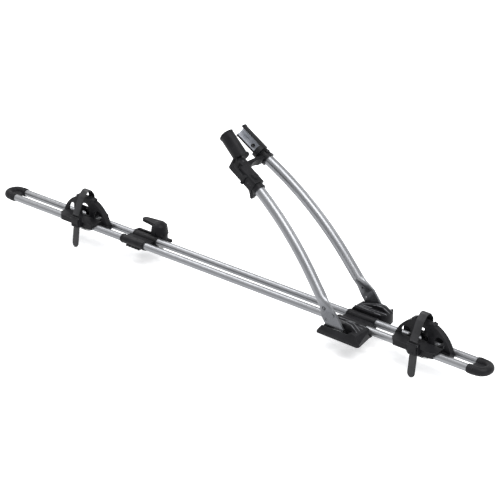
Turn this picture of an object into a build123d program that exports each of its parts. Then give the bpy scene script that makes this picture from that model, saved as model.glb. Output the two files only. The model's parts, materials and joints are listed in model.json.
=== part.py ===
from build123d import *
import math
import os

# A bicycle carrier for a car roof: two parallel rails on two feet, a pair of
# curved arms with a frame clamp, and two wheel holders with straps.
# Origin: centre of the seat on the front load bar. +X points to the front of
# the bicycle along the rails, +Z up, and the carrier's near side is -Y.

# Shared clearances
running_gap = 0.05      # radial play of a pin in its bore
seat_gap = 0.3          # between neighbours that only lie side by side
slide_gap = 0.3         # between a sliding sleeve and its rail
overrun = 5.0           # how far a cutting tool runs past a face

# Rails
rail_od = 17.5
rail_wall = 1.5
rail_pitch = 38.0
rail_height = 14.0
rail_length = 1428.0
rail_front_reach = 329.5

# End caps
cap_wall = 1.5
cap_sleeve = 19.75
cap_overlap = 18.0
cap_web = 6.0
cap_grip_rib = 0.6
cap_rib_width = 1.6
cap_rib_pitch = 4.2
cap_rib_count = 3

# Front foot
foot_sleeve_length = 79.0
foot_sleeve_wall = 2.0
foot_floor = 1.5
foot_plate_top = 6.0
foot_half_width = 84.0
foot_rear_reach = 50.0
foot_front_reach = 66.5
foot_inner_front = 56.5
foot_tip_inset = 2.0
hood_height = 28.5
hood_rear_rise = 16.0
hood_front_fall = 22.0
hood_flank_lean = 6.0
hood_wall = 4.7
hood_round = 3.0
hood_edge = 1.5
hood_pocket_front = 38.0
hood_pocket_share = 0.45
hood_rib_height = 1.2
hood_rib_width = 1.6
nose_radius = 26.0
nose_centre_x = 26.0
nose_centre_y = 56.0
cheek_height = 38.0
cheek_inner = 50.0
cheek_rear = -24.0
cheek_rise_end = 14.0
cheek_fall_start = 31.0
cheek_front = 47.0
slot_floor = 2.0
web_top = 17.0
pad_thickness = 3.5
pad_length = 44.0
pad_half_width = 40.0
pad_groove_width = 3.0
pad_groove_depth = 1.0
pad_groove_pitch = 10.0
pad_groove_count = 4

# Fasteners
bolt_radius = 3.0
bolt_offset = 46.0
bolt_drop = 16.0
bolt_head_length = 20.0
bolt_head_width = 9.0
bolt_head_height = 4.0
nut_flat_radius = 5.8
nut_height = 5.0
washer_radius = 7.0
washer_thickness = 1.1
screw_radius = 2.0
screw_head_radius = 3.8
screw_head_height = 2.2
screw_length = 12.0
screw_socket_radius = 1.3
screw_socket_depth = 1.2
foot_screw_rear = -26.0
foot_screw_front = 30.0
foot_screw_offset = 36.5

# Arm pivot
pivot_x = 1.9
pivot_bolt_radius = 4.0
pivot_head_radius = 7.0
pivot_head_height = 1.8
pivot_nut_radius = 6.5
pivot_nut_height = 5.5
bush_radius = 6.0
ear_thickness = 2.0
ear_floor = 2.0
ear_length = 30.0
ear_top = 23.0

# Arms: straight from the pivot, then one long arc that flattens out
arm_od = 25.0
arm_wall = 1.8
arm_offset = 71.5
arm_head_offset = 43.0
arm_lean = 52.4
arm_end_lean = 29.5
arm_straight = 135.5
arm_bend = 736.0
blade_thickness = 5.0
blade_width = 40.0
blade_length = 45.0
blade_shoulder = 30.0
blade_end_radius = 9.5
blade_corner = 4.0
blade_neck = 40.0
dimple_radius = 5.0
dimple_station = 62.0
rivet_radius = 2.6
rivet_head_radius = 4.2
rivet_head_height = 1.4
rivet_station = 38.0
rivet_offset = 11.0
arm_end_reach = 20.0
dimple_depth_share = -0.55

# Head: jaws, collar and bridge, in the arm's own directions
near_tube_end = -5.0
collar_radius = 15.6
collar_start = -6.0
collar_end = 24.0
collar_lip_width = 4.0
bump_radius = 5.0
bump_height = 3.0
bump_station = 6.0
jaw_radius = 18.5
jaw_wall = 3.0
jaw_lip = 1.2
jaw_low = -90.0
jaw_high = 103.0
jaw_pitch = 4.8
jaw_base_depth = 10.0
jaw_end = 87.0
jaw_centre_y = 9.3
jaw_centre_z = 9.0
fixed_jaw_start = 22.0
liner_thickness = 2.6
liner_margin = 7.0
liner_rib_radius = 0.8
liner_rib_angles = (-70, -40, -10, 20, 50)
liner_screw_angle = -55.0
liner_screw_station = 42.0
liner_hole_radius = 5.0
bridge_middle = 2.5
bridge_width = 13.0
bridge_height = 18.0
bridge_rib = 2.0
bridge_arch_radius = 34.0
bridge_arch_depth = 4.0

# Clamp housing on the near arm
near_collar_radius = 14.8
near_collar_start = -66.0
housing_rear = -56.0
housing_front = -3.0
housing_outboard = 16.5
housing_inboard = 14.5
housing_height = 31.0
housing_round = 6.0
clevis_radius = 11.0
clevis_half = 14.5
jaw_hinge_station = 10.0
jaw_hinge_y = 5.0
jaw_hub_radius = 9.0
jaw_hub_half = 10.0
jaw_hub_room = 1.2
jaw_rest_swing = 6.6
near_jaw_start = 14.0
near_jaw_reach = 82.0
near_jaw_inset = 10.0
lock_station = -38.0
lock_radius = 6.5
lock_boss_radius = 9.0
lock_boss_height = 2.4
lock_proud = 0.8
lock_floor = 13.6
keyway_width = 1.6
keyway_length_share = 0.6
lever_hinge_station = -27.0
lever_end = 21.0
lever_thickness = 4.0
lever_width = 17.0
lever_rib = 1.0
lug_width = 3.0
small_pin_radius = 1.5
small_head_radius = 2.0
small_head_height = 1.6
small_slot = 0.8
set_screw_length = 3.2
set_screw_stations = (-48.0, -40.0)
trigger_station = -62.0
trigger_drop = 19.6
trigger_hub = 3.6
trigger_width = 10.0
trigger_length = 27.0
trigger_depth = 17.0
trigger_front_gap = 1.0
trigger_reach = 35.0
trigger_tip_station = 6.0
trigger_tip_width = 5.0
hollow_x_share = 0.45
hollow_z_share = 0.35
spring_room = 4.6
spring_wire = 0.35
spring_pitch = 0.95
spring_turns = 3
spring_coil_radius = 2.5

# Rear foot and its clamp knob
rear_foot_x = -666.5
rear_sleeve_length = 76.0
rear_skew = 6.0
rear_plate_reach = 60.0
rear_plate_front = 53.0
rear_plate_rear = 56.0
rear_plate_tip = 6.0
rear_plate_shoulder = 36.0
rear_plate_top = 9.0
rear_pad_half_width = 26.0
knob_x = 30.0
knob_y = 40.0
knob_seat_top = 25.5
knob_seat_inset = 2.0
knob_radius = 22.0
knob_top = 57.0
knob_crown = 9.0
knob_taper = 3.0
knob_dome_share = 0.55
knob_flutes = 7
knob_flute_radius = 6.0
knob_flute_depth = 1.6
knob_lobe_reach = 53.0
knob_lobe_width = 17.0
knob_lobe_root = 30.0
knob_lobe_low = 46.0
knob_lobe_thickness = 8.0
insert_radius = 6.0
insert_top = 38.0
knob_bolt_room = 46.0
knob_bolt_top = 42.0

# Wheel holders
rear_holder_x = -843.5
front_holder_x = 182.5
arch_radius = 77.5
arch_centre_z = 1.0
arch_half_length = 74.0
web_thickness = 4.0
web_middle = -5.0
band_half_width = 7.0
band_thickness = 4.0
window_pitch = 44.0
window_width = 27.0
window_sill = 30.0
window_top = 52.0
window_middle_top = 62.0
lug_angle = 19.0
lug_length = 9.0
lug_height = 4.0
flank_rear = 69.0
flank_front = 54.5
flank_reach = 34.0
flank_wall = 3.0
flank_chamfer = 10.0
flank_bays = 3
roof_top_z = 28.5
roof_edge_z = 24.5
skirt_bottom = 11.0
far_wall_rear = 76.0
far_wall_front = 42.0
far_wall_thickness = 3.6
far_wall_z = 32.0
far_rib_places = (-45.0, -0.5, 38.0)
far_rib_width = 5.0
far_rib_z = 26.5
tower_half = 17.0
tower_z = 40.0
tower_round = 4.0
core_half = 9.7
core_bottom = 8.0
core_drop = 2.0
clamp_plate_length = 60.0
clamp_plate_half_width = 27.0
clamp_plate_low = 1.0
clamp_screw_spread = 34.0

# Wheel strap and buckle
anchor_y = 13.5
anchor_z = 34.0
anchor_lug = 5.0
eye_radius = 5.2
strap_width = 22.0
strap_thickness = 2.0
strap_far_bow = 3.0
strap_shoulder_z = 84.0
strap_crest_y = 2.0
strap_crest_z = 104.0
strap_near_bow = 18.0
strap_drape = 6.0
strap_run_y = -39.0
strap_tail_y = -50.0
strap_tail_z = -44.0
strap_bend = 9.0
buckle_low = 12.0
buckle_high = 38.0
buckle_pin_y = -43.5
buckle_hub = 2.8
buckle_lever_thickness = 3.2


def bar_x(radius, x_low, x_high, y=0.0, z=0.0):
    """A round bar along X between two stations."""
    middle = (x_low + x_high) / 2
    return Pos(middle, y, z) * Rot(0, 90, 0) * Cylinder(radius, x_high - x_low)


def bar_y(radius, y_low, y_high, x=0.0, z=0.0):
    """A round bar along Y between two stations."""
    middle = (y_low + y_high) / 2
    return Pos(x, middle, z) * Rot(90, 0, 0) * Cylinder(radius, y_high - y_low)


def bar_z(radius, z_low, z_high, x=0.0, y=0.0):
    """A round bar along Z between two heights."""
    middle = (z_low + z_high) / 2
    return Pos(x, y, middle) * Cylinder(radius, z_high - z_low)


def block(x_low, x_high, y_low, y_high, z_low, z_high):
    """A rectangular block from its two corners."""
    middle = Pos((x_low + x_high) / 2, (y_low + y_high) / 2, (z_low + z_high) / 2)
    return middle * Box(x_high - x_low, y_high - y_low, z_high - z_low)


def hex_bar(radius, height, x, y, z):
    """A hexagonal prism standing on z, its radius measured to the corners."""
    return Pos(x, y, z) * extrude(RegularPolygon(radius, 6), height)


def prism_z(points, z_low, z_high):
    """A plan outline raised between two heights."""
    outline = make_face(Polyline(*points, close=True))
    return Pos(0, 0, z_low) * extrude(outline, z_high - z_low, dir=(0, 0, 1))


def prism_y(points, y_low, y_high):
    """An X-Z outline drawn out along Y."""
    outline = make_face(Polyline(*[(x, 0, z) for x, z in points], close=True))
    return Pos(0, y_low, 0) * extrude(outline, y_high - y_low, dir=(0, 1, 0))


def prism_x(points, x_low, x_high):
    """A Y-Z outline drawn out along X."""
    outline = make_face(Polyline(*[(0, y, z) for y, z in points], close=True))
    return Pos(x_low, 0, 0) * extrude(outline, x_high - x_low, dir=(1, 0, 0))


def soften(shape, edges, size):
    """Round the edges, where there are any."""
    chosen = list(edges)
    return fillet(chosen, size) if chosen else shape


def joined(pieces):
    """One shape from a list of touching or separate pieces."""
    total = pieces[0]
    for piece in pieces[1:]:
        total = total + piece
    return total


def mirrored_y(shape):
    """The same piece on the other side of the carrier."""
    return mirror(shape, about=Plane.XZ)


knob_low = knob_seat_top + seat_gap
rail_radius = rail_od / 2
rail_y = rail_pitch / 2
rail_rear_reach = rail_length - rail_front_reach
sleeve_radius = rail_radius + foot_sleeve_wall


def rail_tube(side):
    """One extruded tube of the rail."""
    y = side * rail_y
    outer = bar_x(rail_radius, -rail_rear_reach, rail_front_reach, y, rail_height)
    bore = bar_x(rail_radius - rail_wall, -rail_rear_reach - overrun,
                 rail_front_reach + overrun, y, rail_height)
    return outer - bore


def end_cap(side):
    """U-shaped cap that joins both tube ends, with a sunk web between its legs."""
    radius = rail_radius + cap_wall
    sleeve_start = rail_front_reach - cap_overlap
    bend_start = sleeve_start + cap_sleeve
    path = CenterArc((bend_start, 0, rail_height), rail_y, -90, 180)
    bend = sweep(Plane(path @ 0, z_dir=path % 0) * Circle(radius), path=path)
    legs = [bar_x(radius, sleeve_start, bend_start, leg * rail_y, rail_height)
            for leg in (-1, 1)]
    web_face = Pos(bend_start, 0, 0) * Circle(rail_y)
    web_low = rail_height - cap_web / 2
    web = Pos(0, 0, web_low) * extrude(web_face, cap_web)
    web = web + block(sleeve_start + cap_wall, bend_start, -rail_y, rail_y,
                      web_low, web_low + cap_web)
    cap = joined([bend] + legs + [web])
    for leg in (-1, 1):
        cap = cap - bar_x(rail_radius + running_gap, sleeve_start - overrun,
                          rail_front_reach + seat_gap, leg * rail_y, rail_height)
    ribs = []
    for index in range(cap_rib_count):
        x = sleeve_start + cap_rib_pitch * (index + 1)
        for leg in (-1, 1):
            ring = bar_x(radius + cap_grip_rib, x, x + cap_rib_width, leg * rail_y, rail_height)
            core = bar_x(radius - cap_wall / 2, x - overrun, x + cap_rib_width + overrun,
                         leg * rail_y, rail_height)
            ribs.append(ring - core)
    cap = joined([cap] + ribs)
    if side > 0:
        return cap
    centre = (rail_front_reach - rail_rear_reach) / 2
    return mirror(cap, about=Plane((centre, 0, 0), z_dir=(1, 0, 0)))


def rail_bores(x_low, x_high, gap):
    """Cutters for both rails through a sliding or fixed body."""
    return joined([bar_x(rail_radius + gap, x_low - overrun, x_high + overrun,
                         side * rail_y, rail_height) for side in (-1, 1)])


blade_inner = arm_offset - blade_thickness / 2
blade_outer = arm_offset + blade_thickness / 2
ear_inner_face = blade_inner - washer_thickness - running_gap
ear_outer_face = blade_outer + washer_thickness + running_gap
bracket_inner = ear_inner_face - ear_thickness
bracket_outer = ear_outer_face + ear_thickness
pocket_outer = bracket_outer + pivot_head_height + seat_gap


def foot_plan():
    """Half of the front foot seen from above, drawn on the +Y side."""
    inner = rail_y
    tip_y = foot_half_width - foot_tip_inset
    half = foot_sleeve_length / 2
    return [(-half, inner), (foot_inner_front, inner),
            (foot_inner_front, rail_y + sleeve_radius),
            (foot_front_reach, foot_half_width - hood_wall),
            (foot_front_reach - hood_wall, foot_half_width),
            (-foot_rear_reach, tip_y),
            (-half, rail_y + sleeve_radius)]


def round_nose():
    """What the far half of the front foot keeps: all of its rear, then a round nose."""
    rear = block(-foot_rear_reach - overrun, nose_centre_x, 0, foot_half_width + overrun,
                 -overrun, cheek_height + overrun)
    disc = bar_z(nose_radius, -overrun, cheek_height + overrun, nose_centre_x, nose_centre_y)
    return rear + disc


def front_foot_base():
    """Moulded base: two sleeves on the rails over one broad plate."""
    half = foot_sleeve_length / 2
    sleeves = [bar_x(sleeve_radius, -half, half, side * rail_y, rail_height) for side in (-1, 1)]
    wing = prism_z(foot_plan(), foot_floor, foot_plate_top)
    web = block(-half, half, -rail_y, rail_y, foot_floor, web_top)
    base = joined(sleeves + [wing & round_nose(), mirrored_y(wing), web])
    base = base - rail_bores(-foot_rear_reach, foot_front_reach, running_gap)
    for side in (-1, 1):
        low, high = sorted((side * (bracket_inner - seat_gap), side * (bracket_outer + seat_gap)))
        base = base - block(-foot_rear_reach - overrun, hood_pocket_front - seat_gap, low, high,
                            slot_floor, foot_plate_top + overrun)
        base = base - bar_z(bolt_radius + running_gap, -overrun, foot_plate_top + overrun,
                            0, side * bolt_offset)
        for x in (foot_screw_rear, foot_screw_front):
            base = base - foot_screw_cutter(x, side)
    groove = block(-pad_length / 2 - seat_gap, pad_length / 2 + seat_gap,
                   -pad_half_width - seat_gap, pad_half_width + seat_gap, 0, pad_thickness)
    return base - groove


def foot_screw_cutter(x, side):
    """Counterbore from below and a clear hole through the plate."""
    y = side * foot_screw_offset
    head = bar_z(screw_head_radius + running_gap, 0, foot_floor + screw_head_height, x, y)
    return head + bar_z(screw_radius + running_gap, 0, foot_plate_top + overrun, x, y)


def bar_pad(length, half_width):
    """Rubber pad that lies on the load bar, with cross grooves in its underside."""
    pad = block(-length / 2, length / 2, -half_width, half_width, 0, pad_thickness)
    for index in range(pad_groove_count):
        x = (index - (pad_groove_count - 1) / 2) * pad_groove_pitch
        pad = pad - block(x - pad_groove_width / 2, x + pad_groove_width / 2,
                          -half_width - overrun, half_width + overrun,
                          -overrun, pad_groove_depth)
    return pad


def hood_profile():
    """Side outline of the hood: a rising tail, a flat top, a rounded nose."""
    nose_low = foot_plate_top + hood_round
    return [(-foot_rear_reach, foot_plate_top),
            (foot_front_reach, foot_plate_top),
            (foot_front_reach, nose_low),
            (foot_front_reach - hood_front_fall / 2, hood_height - hood_round),
            (foot_front_reach - hood_front_fall, hood_height),
            (-foot_rear_reach + hood_rear_rise, hood_height),
            (-foot_rear_reach, foot_plate_top + hood_rib_width)]


def hood_plan():
    """Plan outline of the hood, clear of the sleeve beside it."""
    points = foot_plan()[2:6]
    inner = rail_y + sleeve_radius + seat_gap
    return [(foot_inner_front, inner)] + points[1:] + [(-foot_rear_reach, foot_half_width
            - hood_wall - foot_tip_inset), (-foot_sleeve_length / 2, inner)]


def front_hood(side):
    """Hollow cover over the arm's pivot, open to the rear for the folding arm."""
    body = prism_z(hood_plan(), foot_plate_top, hood_height)
    body = body & prism_y(hood_profile(), 0, foot_half_width + overrun)
    if side > 0:
        body = body & round_nose()
    flank = prism_x([(foot_half_width, foot_plate_top), (foot_half_width + overrun, foot_plate_top),
                     (foot_half_width + overrun, hood_height + overrun),
                     (foot_half_width - hood_flank_lean, hood_height + overrun),
                     (foot_half_width - hood_flank_lean, hood_height)],
                    -foot_rear_reach - overrun, foot_front_reach + overrun)
    body = body - flank
    top_edges = body.faces().sort_by(Axis.Z)[-1].edges()
    body = soften(body, top_edges, hood_edge)
    slot = block(-foot_rear_reach - overrun, hood_pocket_front - hood_wall,
                 bracket_inner - seat_gap, pocket_outer, 0, hood_height + overrun)
    nut_room = block(pivot_x - pivot_nut_radius - hood_wall, pivot_x + pivot_nut_radius + hood_wall,
                     bracket_inner - pivot_nut_height - seat_gap * 2, bracket_inner,
                     0, hood_height - hood_wall)
    pocket_x = hood_pocket_front - hood_wall
    pocket_y = (bracket_inner - seat_gap + pocket_outer) / 2
    nose = bar_z(pocket_outer - pocket_y, 0, hood_height + overrun, pocket_x, pocket_y)
    body = body - slot - nut_room - nose
    trough = prism_z([(-foot_rear_reach + hood_rear_rise, bracket_inner),
                      (pocket_x, bracket_inner),
                      (pocket_x, bracket_inner - (bracket_inner - rail_y - sleeve_radius)
                       * hood_pocket_share)],
                     hood_height - hood_wall, hood_height + overrun)
    body = body - trough
    rib_y = rail_y + sleeve_radius + hood_wall
    rib = block(-foot_sleeve_length / 2 + hood_wall, cheek_front - hood_wall * 3,
                rib_y, rib_y + hood_rib_width, hood_height - hood_rib_height,
                hood_height + hood_rib_height)
    body = body + rib + hood_cheek()
    body = body - bar_z(nut_flat_radius + hood_rib_width, 0, foot_plate_top + nut_height
                        + hood_rib_width, 0, bolt_offset)
    for x in (foot_screw_rear, foot_screw_front):
        body = body - bar_z(screw_radius + running_gap, 0, screw_top() + seat_gap,
                            x, foot_screw_offset)
    return body if side > 0 else mirrored_y(body)


def hood_cheek():
    """Raised wall of the hood between the rail's sleeve and the arm's slot."""
    low = hood_height - hood_wall
    profile = [(cheek_rear, low), (cheek_rear, hood_height), (cheek_rise_end, cheek_height),
               (cheek_fall_start, cheek_height), (cheek_front, hood_height), (cheek_front, low)]
    cheek = prism_y(profile, cheek_inner, bracket_inner - seat_gap)
    return soften(cheek, cheek.edges() | Axis.Y, hood_edge)


def screw_top():
    """Height that a foot screw's point reaches inside the hood."""
    return foot_floor + screw_head_height + screw_length


def foot_screws(places):
    """Screws from below with a hexagon socket, one solid each."""
    screws = []
    for x, y in places:
        head = bar_z(screw_head_radius, foot_floor, foot_floor + screw_head_height
                     - running_gap, x, y)
        shank = bar_z(screw_radius, foot_floor, screw_top(), x, y)
        socket = hex_bar(screw_socket_radius, screw_socket_depth, x, y, foot_floor)
        screws.append(head + shank - socket)
    return Compound(children=screws)


def t_bolt(x, y, top):
    """Hammer-head bolt that hangs in the load bar's slot."""
    head = block(x - bolt_head_length / 2, x + bolt_head_length / 2,
                 y - bolt_head_width / 2, y + bolt_head_width / 2,
                 -bolt_drop, -bolt_drop + bolt_head_height)
    corners = [edge for edge in head.edges() | Axis.Z]
    head = soften(head, corners, bolt_head_height / 2)
    return head + bar_z(bolt_radius, -bolt_drop, top, x, y)


def flange_nut(x, y, z):
    """Hexagon nut on a bolt."""
    return hex_bar(nut_flat_radius, nut_height, x, y, z) - bar_z(
        bolt_radius + running_gap, z - overrun, z + nut_height + overrun, x, y)


def pivot_bracket(side):
    """Folded steel channel whose two ears carry the arm's bolt."""
    half = ear_length / 2
    outline = block(pivot_x - half, pivot_x + half, bracket_inner, bracket_outer,
                    slot_floor, ear_top)
    channel = block(pivot_x - half - overrun, pivot_x + half + overrun, ear_inner_face,
                    ear_outer_face, slot_floor + ear_floor, ear_top + overrun)
    upright = [edge for edge in outline.edges() | Axis.Y if edge.center().Z > ear_floor * 2]
    outline = soften(outline, upright, half / 2)
    bolt_hole = bar_y(pivot_bolt_radius + running_gap, 0, foot_half_width, pivot_x, rail_height)
    bracket = outline - channel - bolt_hole
    return bracket if side > 0 else mirrored_y(bracket)


def pivot_bolt(side):
    """Low-headed bolt with its nut's thread end, across the two ears."""
    shank = bar_y(pivot_bolt_radius, bracket_inner - pivot_nut_height, bracket_outer,
                  pivot_x, rail_height)
    head = bar_y(pivot_head_radius, bracket_outer, bracket_outer + pivot_head_height,
                 pivot_x, rail_height)
    head_edges = head.edges().filter_by(GeomType.CIRCLE).sort_by(Axis.Y)[-1:]
    head = soften(head, head_edges, pivot_head_height / 2)
    bolt = shank + head
    return bolt if side > 0 else mirrored_y(bolt)


def pivot_nut(side):
    """Locking nut inside the hood."""
    nut = Pos(pivot_x, bracket_inner, rail_height) * Rot(90, 0, 0) * extrude(
        RegularPolygon(pivot_nut_radius, 6), pivot_nut_height)
    nut = nut - bar_y(pivot_bolt_radius + running_gap, 0, foot_half_width, pivot_x, rail_height)
    return nut if side > 0 else mirrored_y(nut)


def pivot_washers(side):
    """A plain washer on each face of the arm's blade."""
    rings = []
    for low, high in ((ear_inner_face, ear_inner_face + washer_thickness),
                      (ear_outer_face - washer_thickness, ear_outer_face)):
        ring = bar_y(washer_radius, low, high, pivot_x, rail_height)
        ring = ring - bar_y(pivot_bolt_radius + running_gap, low - overrun, high + overrun,
                            pivot_x, rail_height)
        rings.append(ring if side > 0 else mirrored_y(ring))
    return rings


def pivot_bush(side):
    """Plastic bush pressed into the arm's blade."""
    bush = bar_y(bush_radius - running_gap, blade_inner, blade_outer, pivot_x, rail_height)
    bush = bush - bar_y(pivot_bolt_radius + running_gap, 0, foot_half_width, pivot_x, rail_height)
    return bush if side > 0 else mirrored_y(bush)


def lean_vector(lean):
    """Unit vector up and to the rear at an angle above level."""
    angle = math.radians(lean)
    return Vector(-math.cos(angle), 0, math.sin(angle))


arm_foot = Vector(pivot_x, 0, rail_height)
arm_knee = arm_foot + lean_vector(arm_lean) * arm_straight
arm_centre = arm_knee - Vector(math.sin(math.radians(arm_lean)), 0,
                               math.cos(math.radians(arm_lean))) * arm_bend
arm_tip = arm_centre + Vector(math.sin(math.radians(arm_end_lean)), 0,
                              math.cos(math.radians(arm_end_lean))) * arm_bend
arm_chord = (arm_tip - arm_foot).length
arm_toe_in = math.degrees(math.atan2(arm_offset - arm_head_offset, arm_chord))
chord_lean = math.degrees(math.atan2(arm_tip.Z - arm_foot.Z, arm_foot.X - arm_tip.X))


def toe_in(shape):
    """Lean a planar arm inwards about the pivot, across its chord."""
    chord_normal = Vector(math.sin(math.radians(chord_lean)), 0, math.cos(math.radians(chord_lean)))
    hinge = Axis((arm_foot.X, 0, arm_foot.Z), (chord_normal.X, 0, chord_normal.Z))
    return Pos(0, arm_offset, 0) * shape.rotate(hinge, arm_toe_in)


def blade_frame():
    """X along the arm, Y across it towards the front, Z along the pivot axis."""
    along = lean_vector(arm_lean)
    return Plane((arm_foot.X, arm_offset, arm_foot.Z), x_dir=(along.X, 0, along.Z),
                 z_dir=(0, 1, 0))


def blade():
    """Flattened lower end of the arm around the pivot."""
    half = blade_width / 2
    tongue = Polygon((0, -blade_end_radius), (blade_shoulder, -half), (blade_length, -half),
                     (blade_length, half), (0, half), (-blade_corner, half - blade_corner),
                     (-blade_end_radius, 0), align=None)
    outline = tongue + Circle(blade_end_radius)
    plate = extrude(outline, blade_thickness / 2, both=True)
    plate = plate - Cylinder(bush_radius, blade_thickness + overrun)
    for offset in (-rivet_offset, rivet_offset):
        plate = plate - Pos(rivet_station, offset, 0) * Cylinder(
            rivet_radius + running_gap, blade_thickness + overrun)
    return plate


def arm_section(station):
    """Plane square to the planar arm's straight part, before it is toed in."""
    along = lean_vector(arm_lean)
    return Plane(arm_foot + along * station, x_dir=(0, 1, 0), z_dir=along)


def arm_path(start):
    """Centre line of the round tube: straight, long arc, short straight end."""
    along = lean_vector(arm_lean)
    straight = Line(arm_foot + along * start, arm_knee)
    middle_lean = math.radians((arm_lean + arm_end_lean) / 2)
    middle = arm_centre + Vector(math.sin(middle_lean), 0, math.cos(middle_lean)) * arm_bend
    arc = ThreePointArc(arm_knee, middle, arm_tip)
    end = Line(arm_tip, arm_tip + lean_vector(arm_end_lean) * arm_end_reach)
    return Wire([straight, arc, end])


def arm_tube(side):
    """One arm: a round tube whose lower end is pressed flat into a blade."""
    start = blade_length + blade_neck
    plane = arm_section(start)
    path = arm_path(start)
    ring = plane * (Circle(arm_od / 2) - Circle(arm_od / 2 - arm_wall))
    tube = toe_in(sweep(ring, path=path))
    flat = blade_frame() * Pos(blade_length, 0, 0) * Rot(0, 90, 0) * Rectangle(
        blade_thickness, blade_width)
    neck = loft([flat, toe_in(plane * Circle(arm_od / 2))])
    arm = joined([tube, neck, blade_frame() * blade()])
    dimple_z = blade_thickness / 2 + dimple_radius * dimple_depth_share
    for face in (-1, 1):
        centre = blade_frame() * Pos(dimple_station, 0, face * (dimple_z + dimple_radius))
        arm = arm - centre * Sphere(dimple_radius)
    if side > 0:
        return arm
    cut = block(near_tube_end, arm_end_reach + overrun, -arm_od, arm_od, -arm_od, arm_od)
    return mirrored_y(arm - head_frame() * cut)


def blade_rivet(side):
    """Round-headed rivet that closes the flattened tube."""
    parts = [Cylinder(rivet_radius, blade_thickness)]
    for face in (-1, 1):
        z = face * (blade_thickness + rivet_head_height) / 2
        parts.append(Pos(0, 0, z) * Cylinder(rivet_head_radius, rivet_head_height))
    rivet = blade_frame() * Pos(rivet_station, rivet_offset, 0) * joined(parts)
    return rivet if side > 0 else mirrored_y(rivet)


def toed_point(point):
    """Where a point of the planar arm lies once the arm is leaned inwards."""
    lean = math.radians(chord_lean)
    turn = math.radians(arm_toe_in)
    chord = Vector(-math.cos(lean), 0, math.sin(lean))
    normal = Vector(math.sin(lean), 0, math.cos(lean))
    along = (point - arm_foot).dot(chord)
    above = (point - arm_foot).dot(normal)
    inward = Vector(0, arm_offset - along * math.sin(turn), 0)
    return arm_foot + chord * (along * math.cos(turn)) + normal * above + inward


def head_frame():
    """At the arm's upper end: X along the tube, Y towards the other arm, Z up from it."""
    end_normal = Vector(math.sin(math.radians(arm_end_lean)), 0, math.cos(math.radians(arm_end_lean)))
    origin = toed_point(arm_tip)
    along = toed_point(arm_tip + lean_vector(arm_end_lean) * arm_bend) - origin
    up = toed_point(arm_tip + end_normal * arm_bend) - origin
    return Plane(origin, x_dir=along, z_dir=up)


def placed(shape, side):
    """Put a head piece on the far arm, or mirrored on the near one."""
    shape = head_frame() * shape
    return shape if side > 0 else mirrored_y(shape)


def jaw_mouth(low_angle=0.0, high_angle=0.0):
    """The wedge that a jaw leaves open towards the other one (+Y)."""
    reach = jaw_radius * 3
    low = math.radians(jaw_low + low_angle)
    high = math.radians(jaw_high - high_angle)
    return Polygon((0, 0), (-reach * math.cos(low), reach * math.sin(low)), (reach, -reach),
                   (reach, reach), (-reach * math.cos(high), reach * math.sin(high)), align=None)


def jaw_section(outer, inner, low_angle=0.0, high_angle=0.0):
    """C-shaped section, open towards the other jaw."""
    return Circle(outer) - Circle(inner) - jaw_mouth(low_angle, high_angle)


def trough(section, start, end, y, z):
    """A section drawn out along the jaw."""
    plane = Plane((start, y, z), x_dir=(0, 1, 0), z_dir=(1, 0, 0))
    return extrude(plane * section, end - start, dir=(1, 0, 0))


def liner_ribs(start, end, y, z):
    """Raised grip ribs along the inside of a rubber liner."""
    ribs = []
    for angle in liner_rib_angles:
        turn = math.radians(angle)
        radius = jaw_radius - jaw_wall - liner_thickness
        ribs.append(bar_x(liner_rib_radius, start, end, y - radius * math.cos(turn),
                          z + radius * math.sin(turn)))
    return ribs


def jaw_liner(start, end, y, z):
    """Grey rubber liner that lies in a jaw's trough."""
    outer = jaw_radius - jaw_wall - running_gap
    inner = jaw_radius - jaw_wall - liner_thickness
    section = jaw_section(outer, inner, liner_margin, liner_margin)
    liner = trough(section, start, end, y, z)
    return joined([liner] + liner_ribs(start, end, y, z))


def pitched(shape, base, z):
    """Tip a jaw piece upwards about its base."""
    return Pos(base, 0, z) * Rot(0, -jaw_pitch, 0) * Pos(-base, 0, -z) * shape


def jaw_shell(base, start, end, y, z):
    """Hard jaw: a solid base, then a C-shaped wall with a rim at its tip."""
    body = bar_x(jaw_radius, base, end, y, z)
    inside = bar_x(jaw_radius - jaw_wall, start, end + overrun, y, z)
    mouth = trough(jaw_mouth(), start, end + overrun, y, z)
    rim = trough(jaw_section(jaw_radius + jaw_lip, jaw_radius - jaw_wall / 2),
                 end - jaw_lip * 3, end - jaw_lip, y, z)
    return pitched(joined([body - inside - mouth, rim]), base, z)


def screw_direction():
    """Where the liner screw sits round the far jaw's trough."""
    turn = math.radians(liner_screw_angle)
    level = Plane((liner_screw_station, jaw_centre_y, jaw_centre_z),
                  x_dir=(1, 0, 0), z_dir=(0, -math.cos(turn), math.sin(turn)))
    return pitched(level.location, collar_end - jaw_base_depth, jaw_centre_z)


def far_jaw_shell():
    """Fixed jaw, its collar on the far arm."""
    collar = bar_x(collar_radius, collar_start, collar_end)
    ring = bar_x(collar_radius + jaw_lip, collar_start, collar_start + collar_lip_width)
    jaw = jaw_shell(collar_end - jaw_base_depth, fixed_jaw_start + jaw_wall, jaw_end,
                    jaw_centre_y, jaw_centre_z)
    bump = bar_z(bump_radius, 0, collar_radius + bump_height, bump_station)
    shell = joined([collar, ring, bump, jaw])
    shell = shell - bar_x(arm_od / 2 + running_gap, collar_start - overrun,
                          arm_end_reach + seat_gap)
    hole = screw_direction() * Pos(0, 0, jaw_radius) * Cylinder(
        screw_radius + running_gap, jaw_radius)
    return placed(shell - hole, 1)


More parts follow.
